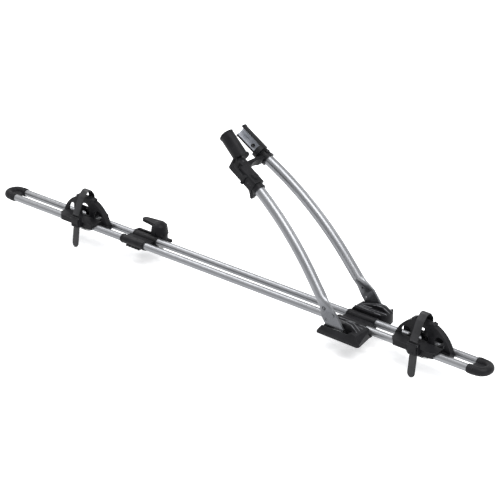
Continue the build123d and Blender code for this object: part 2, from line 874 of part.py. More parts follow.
def far_jaw_liner():
    """Liner of the fixed jaw with a round hole for its screw."""
    start = fixed_jaw_start + jaw_wall + seat_gap
    liner = jaw_liner(start, jaw_end - seat_gap, jaw_centre_y, jaw_centre_z)
    liner = pitched(liner, collar_end - jaw_base_depth, jaw_centre_z)
    hole = screw_direction() * Pos(0, 0, jaw_radius - jaw_wall) * Cylinder(
        liner_hole_radius, jaw_wall * 4)
    return placed(liner - hole, 1)


def jaw_liner_screw():
    """Pan-head screw in the bottom of the liner's hole."""
    inside = jaw_radius - jaw_wall
    seat = math.sqrt(inside ** 2 - screw_head_radius ** 2) - running_gap
    head = Pos(0, 0, seat - screw_head_height / 2) * Cylinder(
        screw_head_radius, screw_head_height)
    shank = Pos(0, 0, seat + jaw_wall / 2) * Cylinder(screw_radius, jaw_wall)
    socket = Pos(0, 0, seat - screw_head_height) * extrude(
        RegularPolygon(screw_socket_radius, 6), screw_socket_depth)
    return placed(screw_direction() * (head + shank - socket), 1)


def head_bridge():
    """Arched bar that ties both heads together just behind the jaws."""
    plane = head_frame()
    far_y = plane.origin.Y
    centre = Plane((plane.origin.X, 0, plane.origin.Z), x_dir=lean_vector(arm_end_lean),
                   z_dir=(math.sin(math.radians(arm_end_lean)), 0,
                          math.cos(math.radians(arm_end_lean))))
    half = bridge_width / 2
    bar = block(bridge_middle - half, bridge_middle + half, -far_y, far_y,
                -bridge_height / 2, bridge_height / 2)
    arch_centre = bridge_middle - half - bridge_arch_radius + bridge_arch_depth
    bar = bar - bar_z(bridge_arch_radius, -far_y, far_y, arch_centre, 0)
    rib = block(bridge_middle - bridge_rib / 2, bridge_middle + bridge_rib / 2, -far_y, far_y,
                -bridge_height / 2 - bridge_rib, bridge_height / 2 + bridge_rib)
    bar = soften(bar, bar.edges() | Axis.Y, bridge_rib) + rib
    bridge = centre * bar
    collar = head_frame() * bar_x(collar_radius + jaw_lip + running_gap,
                                  collar_start - collar_end, collar_end * 2)
    bridge = bridge - collar
    shadow = placed(housing_outer() + near_clevis_block(), -1)
    return bridge - shadow


def housing_outer():
    """Outer form of the clamp housing on the near arm, before its holes are cut."""
    half = housing_height / 2
    body = block(housing_rear, housing_front, -housing_outboard, housing_inboard, -half, half)
    body = soften(body, body.edges() | Axis.X, housing_round)
    turn = math.degrees(-near_collar_start / arm_bend)
    sag = near_collar_start ** 2 / arm_bend / 2
    reach = housing_rear + housing_round - near_collar_start
    collar = bar_x(near_collar_radius, 0, reach)
    ring = bar_x(near_collar_radius + jaw_lip, 0, collar_lip_width)
    sleeve = Pos(near_collar_start, 0, -sag) * Rot(0, -turn, 0) * (collar + ring)
    boss = bar_z(lock_boss_radius, 0, half + lock_boss_height, lock_station)
    return joined([body, sleeve, boss])


def arm_bore():
    """The near arm's round stretch with its play, to cut out of the housing."""
    start = blade_length + blade_neck
    face = arm_section(start) * Circle(arm_od / 2 + running_gap)
    bore = toe_in(sweep(face, path=arm_path(start)))
    cut = block(near_tube_end, arm_end_reach + overrun, -arm_od, arm_od, -arm_od, arm_od)
    return mirrored_y(bore - head_frame() * cut)


def near_clevis_block():
    """Space of the two ears that hold the moving jaw."""
    ears = bar_z(clevis_radius, -clevis_half, clevis_half, jaw_hinge_station, jaw_hinge_y)
    arm = block(housing_front - housing_round, jaw_hinge_station, jaw_hinge_y - clevis_radius,
                jaw_hinge_y + clevis_radius, -clevis_half, clevis_half)
    return ears + arm


def lever_lugs():
    """Two ears on the housing's flank that hold the clamp lever's pin."""
    y = -housing_outboard - lever_thickness / 2
    pieces = []
    for side in (-1, 1):
        low, high = sorted((side * lever_hub_half_gap(), side * (lever_width / 2 + lug_width)))
        lug = bar_z(lever_thickness, low, high, lever_hinge_station, y)
        foot = block(lever_hinge_station - lever_thickness, lever_hinge_station + lever_thickness,
                     y, -housing_outboard + housing_round, low, high)
        pieces.extend([lug, foot])
    return joined(pieces)


def lever_hub_half_gap():
    """Half of the room between the lever's lugs."""
    return lever_width / 2 + seat_gap


def trigger_lugs():
    """Two ears under the housing for the release trigger."""
    pieces = []
    for side in (-1, 1):
        low, high = sorted((side * (trigger_width / 2 + seat_gap),
                            side * (trigger_width / 2 + lug_width)))
        hub = bar_y(trigger_hub, low, high, trigger_station, -trigger_drop)
        foot = block(trigger_station - trigger_hub, trigger_station + trigger_hub,
                     low, high, -trigger_drop, -near_collar_radius + housing_round)
        pieces.extend([hub, foot])
    return joined(pieces)


def clamp_housing():
    """Moulded housing on the near arm with the lock boss, lugs and jaw ears."""
    housing = joined([housing_outer(), near_clevis_block(), lever_lugs(), trigger_lugs()])
    gap = bar_z(clevis_radius + jaw_hub_room, -jaw_hub_half - seat_gap, jaw_hub_half + seat_gap,
                jaw_hinge_station, jaw_hinge_y)
    housing = housing - gap
    housing = housing - bar_z(small_pin_radius * 2 + running_gap, -clevis_half - overrun,
                              clevis_half + overrun, jaw_hinge_station, jaw_hinge_y)
    housing = housing - bar_z(lock_radius + running_gap, lock_floor, housing_height, lock_station)
    lever_y = -housing_outboard - lever_thickness / 2
    housing = housing - bar_z(small_pin_radius + running_gap, -housing_height, housing_height,
                              lever_hinge_station, lever_y)
    hub_room = bar_z(lever_thickness / 2 + seat_gap, -lever_hub_half_gap(), lever_hub_half_gap(),
                     lever_hinge_station, lever_y)
    housing = housing - hub_room
    housing = housing - bar_y(small_pin_radius + running_gap, -housing_height, housing_height,
                              trigger_station, -trigger_drop)
    half = trigger_width / 2 + seat_gap
    housing = housing - bar_y(trigger_hub + seat_gap, -half, half, trigger_station, -trigger_drop)
    for station in set_screw_stations:
        housing = housing - bar_y(small_head_radius + running_gap, -housing_outboard - overrun,
                                  0, station)
    return placed(housing, -1) - arm_bore()


def housing_screws():
    """Short set screws in the housing's flank that hold it on the arm."""
    screws = []
    for station in set_screw_stations:
        body = bar_y(small_head_radius, -housing_outboard + seat_gap, -housing_outboard
                     + set_screw_length, station)
        slot = block(station - small_head_radius, station + small_head_radius,
                     -housing_outboard, -housing_outboard + small_head_height,
                     -small_slot / 2, small_slot / 2)
        screws.append(body - slot)
    return Compound(children=[placed(screw, -1) for screw in screws])


def near_jaw_frame():
    """The moving jaw's own frame at its hinge, swung to its resting angle."""
    return Pos(jaw_hinge_station, jaw_hinge_y, 0) * Rot(0, 0, jaw_rest_swing)


def near_jaw_shell():
    """Moving jaw with the hub that turns between the housing's ears."""
    hub = bar_z(jaw_hub_radius, -jaw_hub_half, jaw_hub_half)
    neck = block(0, near_jaw_start + jaw_wall / 2, -jaw_hub_radius, jaw_hub_radius,
                 -jaw_hub_half, jaw_hub_half)
    jaw = jaw_shell(near_jaw_start, near_jaw_start + jaw_wall, near_jaw_reach, near_jaw_inset,
                    jaw_centre_z)
    lug = bar_z(small_pin_radius * 2, -jaw_hub_half, jaw_hub_half, near_jaw_start + jaw_wall,
                near_jaw_inset - jaw_radius - jaw_lip)
    shell = joined([hub, neck, jaw, lug])
    shell = shell - bar_z(small_pin_radius * 2 + running_gap, -jaw_radius, jaw_radius)
    return placed(near_jaw_frame() * shell, -1)


def near_jaw_liner():
    """Grey liner of the moving jaw."""
    liner = jaw_liner(near_jaw_start + jaw_wall + seat_gap, near_jaw_reach - seat_gap,
                      near_jaw_inset, jaw_centre_z)
    liner = pitched(liner, near_jaw_start, jaw_centre_z)
    return placed(near_jaw_frame() * liner, -1)


def near_jaw_pin():
    """Hinge pin of the moving jaw, fixed in the housing's ears."""
    pin = bar_z(small_pin_radius * 2, -clevis_half, clevis_half, jaw_hinge_station, jaw_hinge_y)
    return placed(pin, -1)


def clamp_lever():
    """Thin lever that lies along the housing's flank."""
    y = -housing_outboard - lever_thickness / 2
    half = lever_width / 2
    start = lever_hinge_station
    low = -housing_outboard - lever_thickness
    strip = block(start, lever_end, low, -housing_outboard - seat_gap, -half, half)
    tip_edges = (strip.edges() | Axis.Y).sort_by(Axis.X)[-2:]
    strip = soften(strip, tip_edges, half / 2)
    hub = bar_z(lever_thickness / 2, -half, half, start, y)
    thumb = block(lever_end - lever_thickness * 2, lever_end - lever_thickness, low
                  - lever_rib, low + lever_rib, -half + lever_rib, half - lever_rib)
    rib = block(start + lever_thickness, lever_end - lever_thickness * 2, low - lever_rib,
                low + lever_rib, half - lever_rib * 2, half)
    lever = joined([strip, hub, thumb, rib])
    lever = lever - bar_z(small_pin_radius + running_gap, -half - overrun, half + overrun, start, y)
    return placed(lever, -1)


def lever_pin():
    """Pin of the clamp lever."""
    reach = lever_width / 2 + lug_width
    y = -housing_outboard - lever_thickness / 2
    return placed(bar_z(small_pin_radius, -reach, reach, lever_hinge_station, y), -1)


def lock_cylinder():
    """Key barrel in the housing's top boss, with its keyway."""
    top = housing_height / 2 + lock_boss_height + lock_proud
    barrel = bar_z(lock_radius, lock_floor + seat_gap, top, lock_station)
    keyway = block(lock_station - lock_radius * keyway_length_share,
                   lock_station + lock_radius * keyway_length_share,
                   -keyway_width / 2, keyway_width / 2, top - lock_boss_height, top + overrun)
    return placed(barrel - keyway, -1)


def release_trigger():
    """Finger trigger under the housing, a fin with a hollow front edge."""
    half = trigger_width / 2
    front = trigger_station + trigger_length
    edge = Line((trigger_station, 0, -trigger_drop + trigger_hub / 2),
                (front, 0, -trigger_drop - trigger_front_gap))
    hollow = ThreePointArc(edge @ 1,
                           (front - trigger_length * hollow_x_share, 0,
                            -trigger_drop - trigger_depth * hollow_z_share),
                           (trigger_station + trigger_tip_station, 0, -trigger_reach))
    tip = Line(hollow @ 1, (trigger_station + trigger_tip_station - trigger_tip_width, 0,
                            -trigger_reach))
    back = Line(tip @ 1, (trigger_station - trigger_hub / 2, 0, -trigger_drop))
    close = Line(back @ 1, edge @ 0)
    face = make_face([edge, hollow, tip, back, close])
    fin = Pos(0, -half, 0) * extrude(face, trigger_width, dir=(0, 1, 0))
    hub = bar_y(trigger_hub - seat_gap, -half, half, trigger_station, -trigger_drop)
    room = bar_y(trigger_hub + seat_gap, half - spring_room, half + overrun, trigger_station,
                 -trigger_drop)
    bore = bar_y(small_pin_radius + running_gap, -half - overrun, half + overrun,
                 trigger_station, -trigger_drop)
    return placed(fin + hub - room - bore, -1)


def trigger_pin():
    """Pin of the release trigger."""
    reach = trigger_width / 2 + lug_width
    return placed(bar_y(small_pin_radius, -reach, reach, trigger_station, -trigger_drop), -1)


def trigger_spring():
    """Torsion spring wound round the trigger's pin."""
    start = trigger_width / 2 - spring_room + spring_wire * 2
    coil = Helix(spring_pitch, spring_pitch * spring_turns, spring_coil_radius)
    wire = sweep(Plane(coil @ 0, z_dir=coil % 0) * Circle(spring_wire), path=coil)
    return placed(Pos(trigger_station, start, -trigger_drop) * Rot(-90, 0, 0) * wire, -1)


def rear_foot_plan():
    """Plan outline of the rear foot's plate, on the far side only."""
    half = rear_sleeve_length / 2
    return [(-half, 0), (half, 0), (half + rear_skew, rail_y),
            (rear_plate_front, rear_plate_reach), (-rear_plate_rear, rear_plate_reach),
            (-rear_plate_rear - rear_plate_tip, rear_plate_shoulder),
            (-half, rail_y)]


def rear_foot_base():
    """Sliding foot: sleeves on both rails and a seat for the clamp knob."""
    half = rear_sleeve_length / 2
    near = bar_x(sleeve_radius, -half, half, -rail_y, rail_height)
    far = bar_x(sleeve_radius, -half + rear_skew, half + rear_skew, rail_y, rail_height)
    plate = prism_z(rear_foot_plan(), foot_floor, rear_plate_top)
    web = block(-half, half, -rail_y, rail_y, foot_floor, web_top)
    seat = bar_z(knob_radius - knob_seat_inset, foot_floor, knob_seat_top, knob_x, knob_y)
    rib = block(-half + rear_skew, half + rear_skew, rail_y + sleeve_radius - foot_sleeve_wall,
                rail_y + sleeve_radius + foot_sleeve_wall, foot_floor, knob_seat_top)
    base = joined([near, far, plate, web, seat, rib])
    base = base - rail_bores(-rear_plate_rear * 2, rear_plate_front * 2, slide_gap)
    groove = block(-pad_length / 2 - seat_gap, pad_length / 2 + seat_gap,
                   -rear_pad_half_width - seat_gap, rear_pad_half_width + seat_gap,
                   0, pad_thickness)
    base = base - groove
    base = base - bar_z(bolt_radius + seat_gap, -overrun, knob_seat_top + overrun, knob_x, knob_y)
    return Pos(rear_foot_x, 0, 0) * base


def knob_lobe():
    """The knob's one long wing, rounded at its tip and lifted off the plate."""
    tip = Pos(-knob_lobe_reach + knob_lobe_width / 2, 0, 0) * Circle(knob_lobe_width / 2)
    root = Polygon((0, -knob_lobe_root / 2), (0, knob_lobe_root / 2),
                   (-knob_lobe_reach + knob_lobe_width / 2, knob_lobe_width / 2),
                   (-knob_lobe_reach + knob_lobe_width / 2, -knob_lobe_width / 2), align=None)
    lobe = Pos(0, 0, knob_lobe_low) * extrude(root + tip, knob_lobe_thickness)
    rims = lobe.faces().sort_by(Axis.Z)[-1].edges()
    return soften(lobe, rims, knob_lobe_thickness / 4)


def rear_clamp_knob():
    """Domed hand knob with finger flutes and one wing, above the rear foot."""
    crown = knob_top - knob_crown
    profile = [Line((0, 0, knob_low), (knob_radius, 0, knob_low)),
               Line((knob_radius, 0, knob_low), (knob_radius - knob_taper, 0, crown)),
               ThreePointArc((knob_radius - knob_taper, 0, crown),
                             (knob_radius * knob_dome_share, 0, knob_top - knob_crown / 3),
                             (0, 0, knob_top)),
               Line((0, 0, knob_top), (0, 0, knob_low))]
    body = revolve(make_face(profile), Axis.Z)
    body = body + knob_lobe()
    for index in range(knob_flutes):
        angle = math.radians((index + 1 / 2) * 360 / knob_flutes)
        reach = knob_radius + knob_flute_radius - knob_flute_depth
        body = body - bar_z(knob_flute_radius, knob_low - overrun, knob_lobe_low - overrun,
                            reach * math.cos(angle), reach * math.sin(angle))
    body = body - bar_z(insert_radius + running_gap, 0, insert_top, 0, 0)
    body = body - bar_z(bolt_radius + seat_gap, 0, knob_bolt_room, 0, 0)
    return Pos(rear_foot_x + knob_x, knob_y, 0) * body


def knob_insert():
    """Brass thread insert moulded into the knob."""
    insert = bar_z(insert_radius, knob_low, insert_top - seat_gap)
    insert = insert - bar_z(bolt_radius + running_gap, 0, knob_top)
    return Pos(rear_foot_x + knob_x, knob_y, 0) * insert


def holder_arch():
    """Arched web with three windows, and the rim band that the tyre rests on."""
    disc = Pos(0, 0, arch_centre_z) * Rot(90, 0, 0) * Cylinder(arch_radius, web_thickness)
    web = Pos(0, web_middle, 0) * disc
    web = web & block(-arch_half_length, arch_half_length, -rail_pitch, rail_pitch,
                      rail_height, arch_radius * 2)
    for index in (-1, 0, 1):
        x = index * window_pitch
        top = window_top if index else window_middle_top
        half = window_width / 2
        arch_z = top - half
        hole = block(x - half, x + half, -rail_pitch, rail_pitch, window_sill, arch_z)
        hole = hole + bar_y(half, -rail_pitch, rail_pitch, x, arch_z)
        web = web - hole
    band = bar_y(arch_radius, -band_half_width, band_half_width, 0, arch_centre_z)
    band = band - bar_y(arch_radius - band_thickness, -rail_pitch, rail_pitch, 0, arch_centre_z)
    band = band & block(-arch_half_length, arch_half_length, -rail_pitch, rail_pitch,
                        rail_height, arch_radius * 2)
    lugs = []
    for side in (-1, 1):
        angle = math.radians(90 + side * lug_angle)
        x = (arch_radius - lug_height / 2) * math.cos(angle)
        z = arch_centre_z + (arch_radius - lug_height / 2) * math.sin(angle)
        lug = Pos(x, 0, z) * Rot(0, 90 - math.degrees(angle), 0) * Box(
            lug_length, band_half_width * 2, lug_height * 3)
        lugs.append(lug)
    return joined([web, band] + lugs)


def holder_flank():
    """Roof and skirt over the near rail, with end walls and ribs inside."""
    inner = web_middle - web_thickness / 2
    rail_top = rail_height + rail_radius
    section = [(inner, roof_top_z), (-flank_reach, roof_edge_z), (-flank_reach, skirt_bottom),
               (-core_half, skirt_bottom), (-core_half, rail_top - core_drop),
               (inner, rail_top - core_drop)]
    shell = prism_x(section, -flank_rear, flank_front) - flank_chamfers()
    hollow = [(inner - flank_wall, skirt_bottom - overrun),
              (inner - flank_wall, roof_top_z - flank_wall * 2),
              (-flank_reach + flank_wall, roof_edge_z - flank_wall),
              (-flank_reach + flank_wall, skirt_bottom - overrun)]
    step = (flank_rear + flank_front - flank_wall) / flank_bays
    for index in range(flank_bays):
        low = -flank_rear + flank_wall + index * step
        shell = shell - prism_x(hollow, low, low + step - flank_wall)
    return shell


def flank_chamfers():
    """Cutters that slope the two outer corners of the near flank."""
    cutters = []
    for end in (-flank_rear, flank_front):
        way = math.copysign(1, end)
        points = [(end, -flank_reach + flank_chamfer),
                  (end - way * flank_chamfer, -flank_reach),
                  (end - way * flank_chamfer, -flank_reach - overrun),
                  (end + way * overrun, -flank_reach - overrun),
                  (end + way * overrun, -flank_reach + flank_chamfer)]
        cutters.append(prism_z(points, -overrun, roof_top_z * 2))
    return joined(cutters)


def far_skirt():
    """Wall outside the far rail, with the ribs over the rail and the strap's tower."""
    inner = rail_y + rail_radius + slide_gap + running_gap
    outer = inner + far_wall_thickness
    wall = block(-far_wall_rear, far_wall_front, inner, outer, skirt_bottom, far_wall_z)
    corners = (wall.edges() | Axis.Y).sort_by(Axis.Z)[-2:]
    pieces = [soften(wall, corners, tower_round)]
    for place in far_rib_places:
        pieces.append(block(place - far_rib_width / 2, place + far_rib_width / 2, 0,
                            inner + overrun / 2, rail_height, far_rib_z))
    tower = block(-tower_half, tower_half, inner, outer, rail_height, tower_z)
    tower_edges = (tower.edges() | Axis.Y).sort_by(Axis.Z)[-2:]
    pieces.append(soften(tower, tower_edges, tower_round))
    for side in (-1, 1):
        low, high = sorted((side * (strap_width / 2 + seat_gap),
                            side * (strap_width / 2 + lug_width)))
        lug_top = anchor_z + anchor_lug
        pieces.append(block(low, high, anchor_y - anchor_lug, outer, rail_height, lug_top))
    return joined(pieces) - block(-flank_rear, flank_rear, core_half - slide_gap,
                                  inner - running_gap, -overrun, rail_height)


def wheel_tray(x):
    """Moulded wheel holder that straddles both rails."""
    core = block(-arch_half_length, arch_half_length, -core_half, core_half,
                 core_bottom, rail_height + rail_radius - core_drop)
    tray = joined([core, holder_arch(), holder_flank(), far_skirt()])
    tray = tray - rail_bores(-flank_rear * 2, flank_rear * 2, slide_gap)
    tray = tray - bar_x(small_pin_radius * 2 + running_gap, -strap_width / 2 - lug_width - overrun,
                        strap_width / 2 + lug_width + overrun, anchor_y, anchor_z)
    for place in clamp_screw_places():
        tray = tray - bar_z(screw_radius + running_gap, 0, clamp_screw_top() + seat_gap, place, 0)
    return Pos(x, 0, 0) * tray


def clamp_screw_places():
    """Stations of the two screws under a wheel holder."""
    return (-clamp_screw_spread / 2, clamp_screw_spread / 2)


def clamp_screw_top():
    """Height of a clamp screw's point."""
    return clamp_plate_low + screw_length


def tray_clamp_plate(x):
    """Plate under the rails that holds a wheel holder down."""
    half = clamp_plate_length / 2
    high = rail_height - rail_radius - slide_gap
    plate = block(-half, half, -clamp_plate_half_width, clamp_plate_half_width,
                  clamp_plate_low, high)
    plate = soften(plate, plate.edges() | Axis.Z, clamp_plate_low * 2)
    spine = block(-half, half, -core_half + seat_gap, core_half - seat_gap, high,
                  core_bottom - seat_gap)
    plate = plate + spine
    for place in clamp_screw_places():
        plate = plate - bar_z(screw_radius + running_gap, 0, core_bottom + overrun, place, 0)
        plate = plate - bar_z(screw_head_radius + running_gap, 0, clamp_plate_low
                              + screw_head_height, place, 0)
    return Pos(x, 0, 0) * plate


def tray_clamp_screws(x):
    """Two screws from below into the wheel holder."""
    screws = []
    for place in clamp_screw_places():
        head = bar_z(screw_head_radius, clamp_plate_low, clamp_plate_low + screw_head_height
                     - running_gap, place, 0)
        shank = bar_z(screw_radius, clamp_plate_low, clamp_screw_top(), place, 0)
        socket = hex_bar(screw_socket_radius, screw_socket_depth, place, 0, clamp_plate_low)
        screws.append(Pos(x, 0, 0) * (head + shank - socket))
    return Compound(children=screws)


def strap_anchor_pin(x):
    """Steel pin that the strap's eye hangs on."""
    reach = strap_width / 2 + lug_width
    return Pos(x, 0, 0) * bar_x(small_pin_radius * 2, -reach, reach, anchor_y, anchor_z)


def strap_path():
    """The strap's line in the Y-Z plane, from its eye over the wheel to its tail."""
    points = [(0, anchor_y, anchor_z + eye_radius - strap_thickness / 2),
              (0, anchor_y + strap_far_bow, strap_shoulder_z),
              (0, strap_crest_y, strap_crest_z),
              (0, -strap_near_bow, strap_shoulder_z),
              (0, strap_run_y, buckle_high + strap_drape),
              (0, strap_run_y, buckle_low - lever_thickness),
              (0, strap_tail_y, strap_tail_z)]
    return FilletPolyline(*points, radius=strap_bend)


def wheel_strap(x):
    """Ratchet strap with an eye at one end and a rounded, ribbed tail."""
    path = strap_path()
    start = Plane(path @ 0, x_dir=(1, 0, 0), z_dir=path % 0)
    strap = sweep(start * Rectangle(strap_width, strap_thickness), path=path)
    eye = bar_x(eye_radius, -strap_width / 2, strap_width / 2, anchor_y, anchor_z)
    strap = strap + eye
    strap = strap - bar_x(small_pin_radius * 2 + running_gap, -strap_width, strap_width,
                          anchor_y, anchor_z)
    tail = path @ 1
    along = path % 1
    cutter = Plane(tail, x_dir=(1, 0, 0), z_dir=along.cross(Vector(1, 0, 0)))
    half = strap_width / 2
    blank = cutter * Box(strap_width * 2, strap_width, strap_width)
    keep = cutter * Pos(0, side_of(cutter, along) * half, 0) * Cylinder(half, strap_width * 2)
    strap = strap - (blank - keep)
    return Pos(x, 0, 0) * strap


def side_of(plane, along):
    """-1 or 1: which way the strap's body lies from its tail, in the plane's Y."""
    return -1 if plane.y_dir.dot(along) > 0 else 1


def buckle_base(x):
    """Buckle's back plate on the near skirt, with two ears for the lever's pin."""
    half = strap_width / 2 + lug_width
    back = -flank_reach - seat_gap
    front = strap_run_y + strap_thickness / 2 + seat_gap
    base = block(-half, half, front, back, buckle_low, buckle_high)
    pieces = [base]
    for side in (-1, 1):
        low, high = sorted((side * (half - lug_width + seat_gap), side * half))
        pieces.append(block(low, high, buckle_pin_y, back, buckle_low, buckle_high))
        pieces.append(bar_x(buckle_hub + seat_gap, low, high, buckle_pin_y, buckle_pin_z()))
    base = joined(pieces)
    base = base - bar_x(small_pin_radius + running_gap, -half - overrun, half + overrun,
                        buckle_pin_y, buckle_pin_z())
    return Pos(x, 0, 0) * base


def buckle_pin_z():
    """Height of the buckle lever's pin."""
    return buckle_high - buckle_hub


def buckle_lever(x):
    """Ratchet lever that presses the strap, hinged at the buckle's top."""
    half = strap_width / 2
    low = buckle_pin_y - buckle_hub
    high = strap_run_y - strap_thickness / 2 - seat_gap
    z = buckle_pin_z()
    hub = bar_x(buckle_hub, -half, half, buckle_pin_y, z)
    plate = block(-half, half, low, low + buckle_lever_thickness, buckle_low, z)
    grip = block(-half + lug_width, half - lug_width, low - lever_rib, low
                 + buckle_lever_thickness, buckle_low, buckle_low + lever_thickness)
    lever = joined([hub, plate, grip])
    lever = lever - bar_x(small_pin_radius + running_gap, -half - overrun, half + overrun,
                          buckle_pin_y, z)
    trim = block(-half * 2, half * 2, high, high + buckle_hub * 2, buckle_low - overrun,
                 buckle_high + overrun)
    return Pos(x, 0, 0) * (lever - trim)


def buckle_pin(x):
    """Pin of a buckle lever."""
    reach = strap_width / 2 + lug_width
    return Pos(x, 0, 0) * bar_x(small_pin_radius, -reach, reach, buckle_pin_y, buckle_pin_z())


def pieces():
    """Every named piece of the carrier."""
    screw_places = [(x, side * foot_screw_offset) for side in (-1, 1)
                    for x in (foot_screw_rear, foot_screw_front)]
    bolt_top = foot_plate_top + nut_height + seat_gap
    parts = {
        "rail_tube_near": rail_tube(-1),
        "rail_tube_far": rail_tube(1),
        "end_cap_rear": end_cap(-1),
        "end_cap_front": end_cap(1),
        "front_foot_base": front_foot_base(),
        "front_hood_near": front_hood(-1),
        "front_hood_far": front_hood(1),
        "front_bar_pad": bar_pad(pad_length, pad_half_width),
        "front_t_bolts": Compound(children=[t_bolt(0, side * bolt_offset, bolt_top)
                                            for side in (-1, 1)]),
        "front_t_bolt_nuts": Compound(children=[flange_nut(0, side * bolt_offset, foot_plate_top)
                                                for side in (-1, 1)]),
        "front_foot_screws": foot_screws(screw_places),
        "pivot_brackets": Compound(children=[pivot_bracket(-1), pivot_bracket(1)]),
        "arm_pivot_bolts": Compound(children=[pivot_bolt(-1), pivot_bolt(1)]),
        "arm_pivot_nuts": Compound(children=[pivot_nut(-1), pivot_nut(1)]),
        "pivot_washers": Compound(children=pivot_washers(-1) + pivot_washers(1)),
        "pivot_bushes": Compound(children=[pivot_bush(-1), pivot_bush(1)]),
        "arm_tube_near": arm_tube(-1),
        "arm_tube_far": arm_tube(1),
        "blade_rivets": Compound(children=[blade_rivet(-1), blade_rivet(1)]),
        "head_bridge": head_bridge(),
        "far_jaw_shell": far_jaw_shell(),
        "far_jaw_liner": far_jaw_liner(),
        "jaw_liner_screw": jaw_liner_screw(),
        "clamp_housing": clamp_housing(),
        "housing_screws": housing_screws(),
        "near_jaw_shell": near_jaw_shell(),
        "near_jaw_liner": near_jaw_liner(),
        "near_jaw_pin": near_jaw_pin(),
        "clamp_lever": clamp_lever(),
        "lever_pin": lever_pin(),
        "lock_cylinder": lock_cylinder(),
        "release_trigger": release_trigger(),
        "trigger_pin": trigger_pin(),
        "trigger_spring": trigger_spring(),
        "rear_foot_base": rear_foot_base(),
        "rear_bar_pad": Pos(rear_foot_x, 0, 0) * bar_pad(pad_length, rear_pad_half_width),
        "rear_clamp_knob": rear_clamp_knob(),
        "knob_insert": knob_insert(),
        "rear_t_bolt": t_bolt(rear_foot_x + knob_x, knob_y, knob_bolt_top),
    }
    for name, x in (("rear", rear_holder_x), ("front", front_holder_x)):
        parts[f"wheel_tray_{name}"] = wheel_tray(x)
        parts[f"tray_clamp_plate_{name}"] = tray_clamp_plate(x)
        parts[f"tray_clamp_screws_{name}"] = tray_clamp_screws(x)
        parts[f"strap_anchor_pin_{name}"] = strap_anchor_pin(x)
        parts[f"wheel_strap_{name}"] = wheel_strap(x)
        parts[f"buckle_base_{name}"] = buckle_base(x)
        parts[f"buckle_lever_{name}"] = buckle_lever(x)
        parts[f"buckle_pin_{name}"] = buckle_pin(x)
    return parts


def main():
    """Write one STEP file for each piece."""
    os.makedirs("parts", exist_ok=True)
    for name, shape in pieces().items():
        export_step(shape, f"parts/{name}.step")


main()
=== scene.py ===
import json
import math
import bmesh
import bpy
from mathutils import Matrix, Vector
from mathutils.bvhtree import BVHTree


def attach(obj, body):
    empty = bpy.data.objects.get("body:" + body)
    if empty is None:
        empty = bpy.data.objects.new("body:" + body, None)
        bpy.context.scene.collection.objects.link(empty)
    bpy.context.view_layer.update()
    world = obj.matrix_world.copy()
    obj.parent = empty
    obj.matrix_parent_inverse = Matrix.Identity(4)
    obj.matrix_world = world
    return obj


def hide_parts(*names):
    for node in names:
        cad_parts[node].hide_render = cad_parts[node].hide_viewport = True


# Looks of the roof mounted bicycle carrier, in metres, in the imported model's own frame.
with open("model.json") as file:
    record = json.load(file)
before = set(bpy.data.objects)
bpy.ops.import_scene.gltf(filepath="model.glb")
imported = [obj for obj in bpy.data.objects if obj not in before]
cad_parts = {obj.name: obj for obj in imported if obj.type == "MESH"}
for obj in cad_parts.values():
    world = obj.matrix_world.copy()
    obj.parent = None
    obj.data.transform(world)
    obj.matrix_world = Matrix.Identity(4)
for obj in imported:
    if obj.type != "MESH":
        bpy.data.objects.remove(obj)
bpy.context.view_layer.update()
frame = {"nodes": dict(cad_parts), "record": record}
nodes = frame["nodes"]

# Camera fitted to the photograph.
CAMERA_PLACE = (2.2954, -3.0551, 1.9780)
CAMERA_AIM = (-0.3137, 0.0, 0.0932)
CAMERA_LENS = 138.74
CAMERA_SENSOR = 36.0
CAMERA_REACH = 60.0

# Studio.
FLOOR_Z = -0.0452
FLOOR_HALF = 9.0
FLOOR_PAINT = (0.92, 0.92, 0.92, 1.0)
FLOOR_GLOW = 0.62
FLOOR_GLOW_SHARE = 0.72
SOFT_LIGHT = (0.93, 0.95, 1.0, 1.0)
SOFT_STRENGTH = 0.42
WHITE = (1.0, 1.0, 1.0, 1.0)
# Each lamp: name, place, aim, size and power.
LAMPS = (
    ("key", (-2.3, 0.25, 2.8), (-0.35, 0.0, 0.1), (2.2, 1.3), 58.0),
    ("fill", (1.3, -0.55, 2.7), (-0.3, 0.0, 0.2), (1.9, 3.2), 118.0),
    ("side", (-2.6, -1.8, 1.9), (-0.4, 0.0, 0.1), (1.6, 1.4), 9.0),
    ("back", (0.6, 3.0, 1.8), (-0.3, 0.0, 0.1), (2.2, 1.2), 18.0),
)

# Materials.
NOISE_LOW = 0.3
NOISE_HIGH = 0.7
BEVEL_SAMPLES = 6
FLAT_LEAN = 0.995
EDGE_LEAN = 0.86
# Heights over which painted shade darkens the flattened arm blades.
BLADE_SHADE_FROM_Z = 0.082
BLADE_SHADE_TO_Z = 0.056

# Where pieces sit on the CAD model.
RAIL_SIDE = 0.019
RAIL_AXIS_Z = 0.014
SLEEVE_RADIUS = 0.01075
REAR_FOOT_X = -0.6665
REAR_FAR_SHIFT = 0.006
HOLDER_X = {"rear": -0.8435, "front": 0.1825}

# Every bead and ridge.
RIDGE_SIDES = 10
RIDGE_STEEP_SHARE = 0.2
RIDGE_TIP_SHARE = 0.35
RIDGE_TIP_GROWTH_SHARE = 0.25

# Beads round the sleeves' mouths.
BEAD_RADIUS = 0.0008
BEAD_FROM_MIDDLE = 0.0365
BEAD_REAR_SHARE = 0.94
BEAD_POINTS = 40

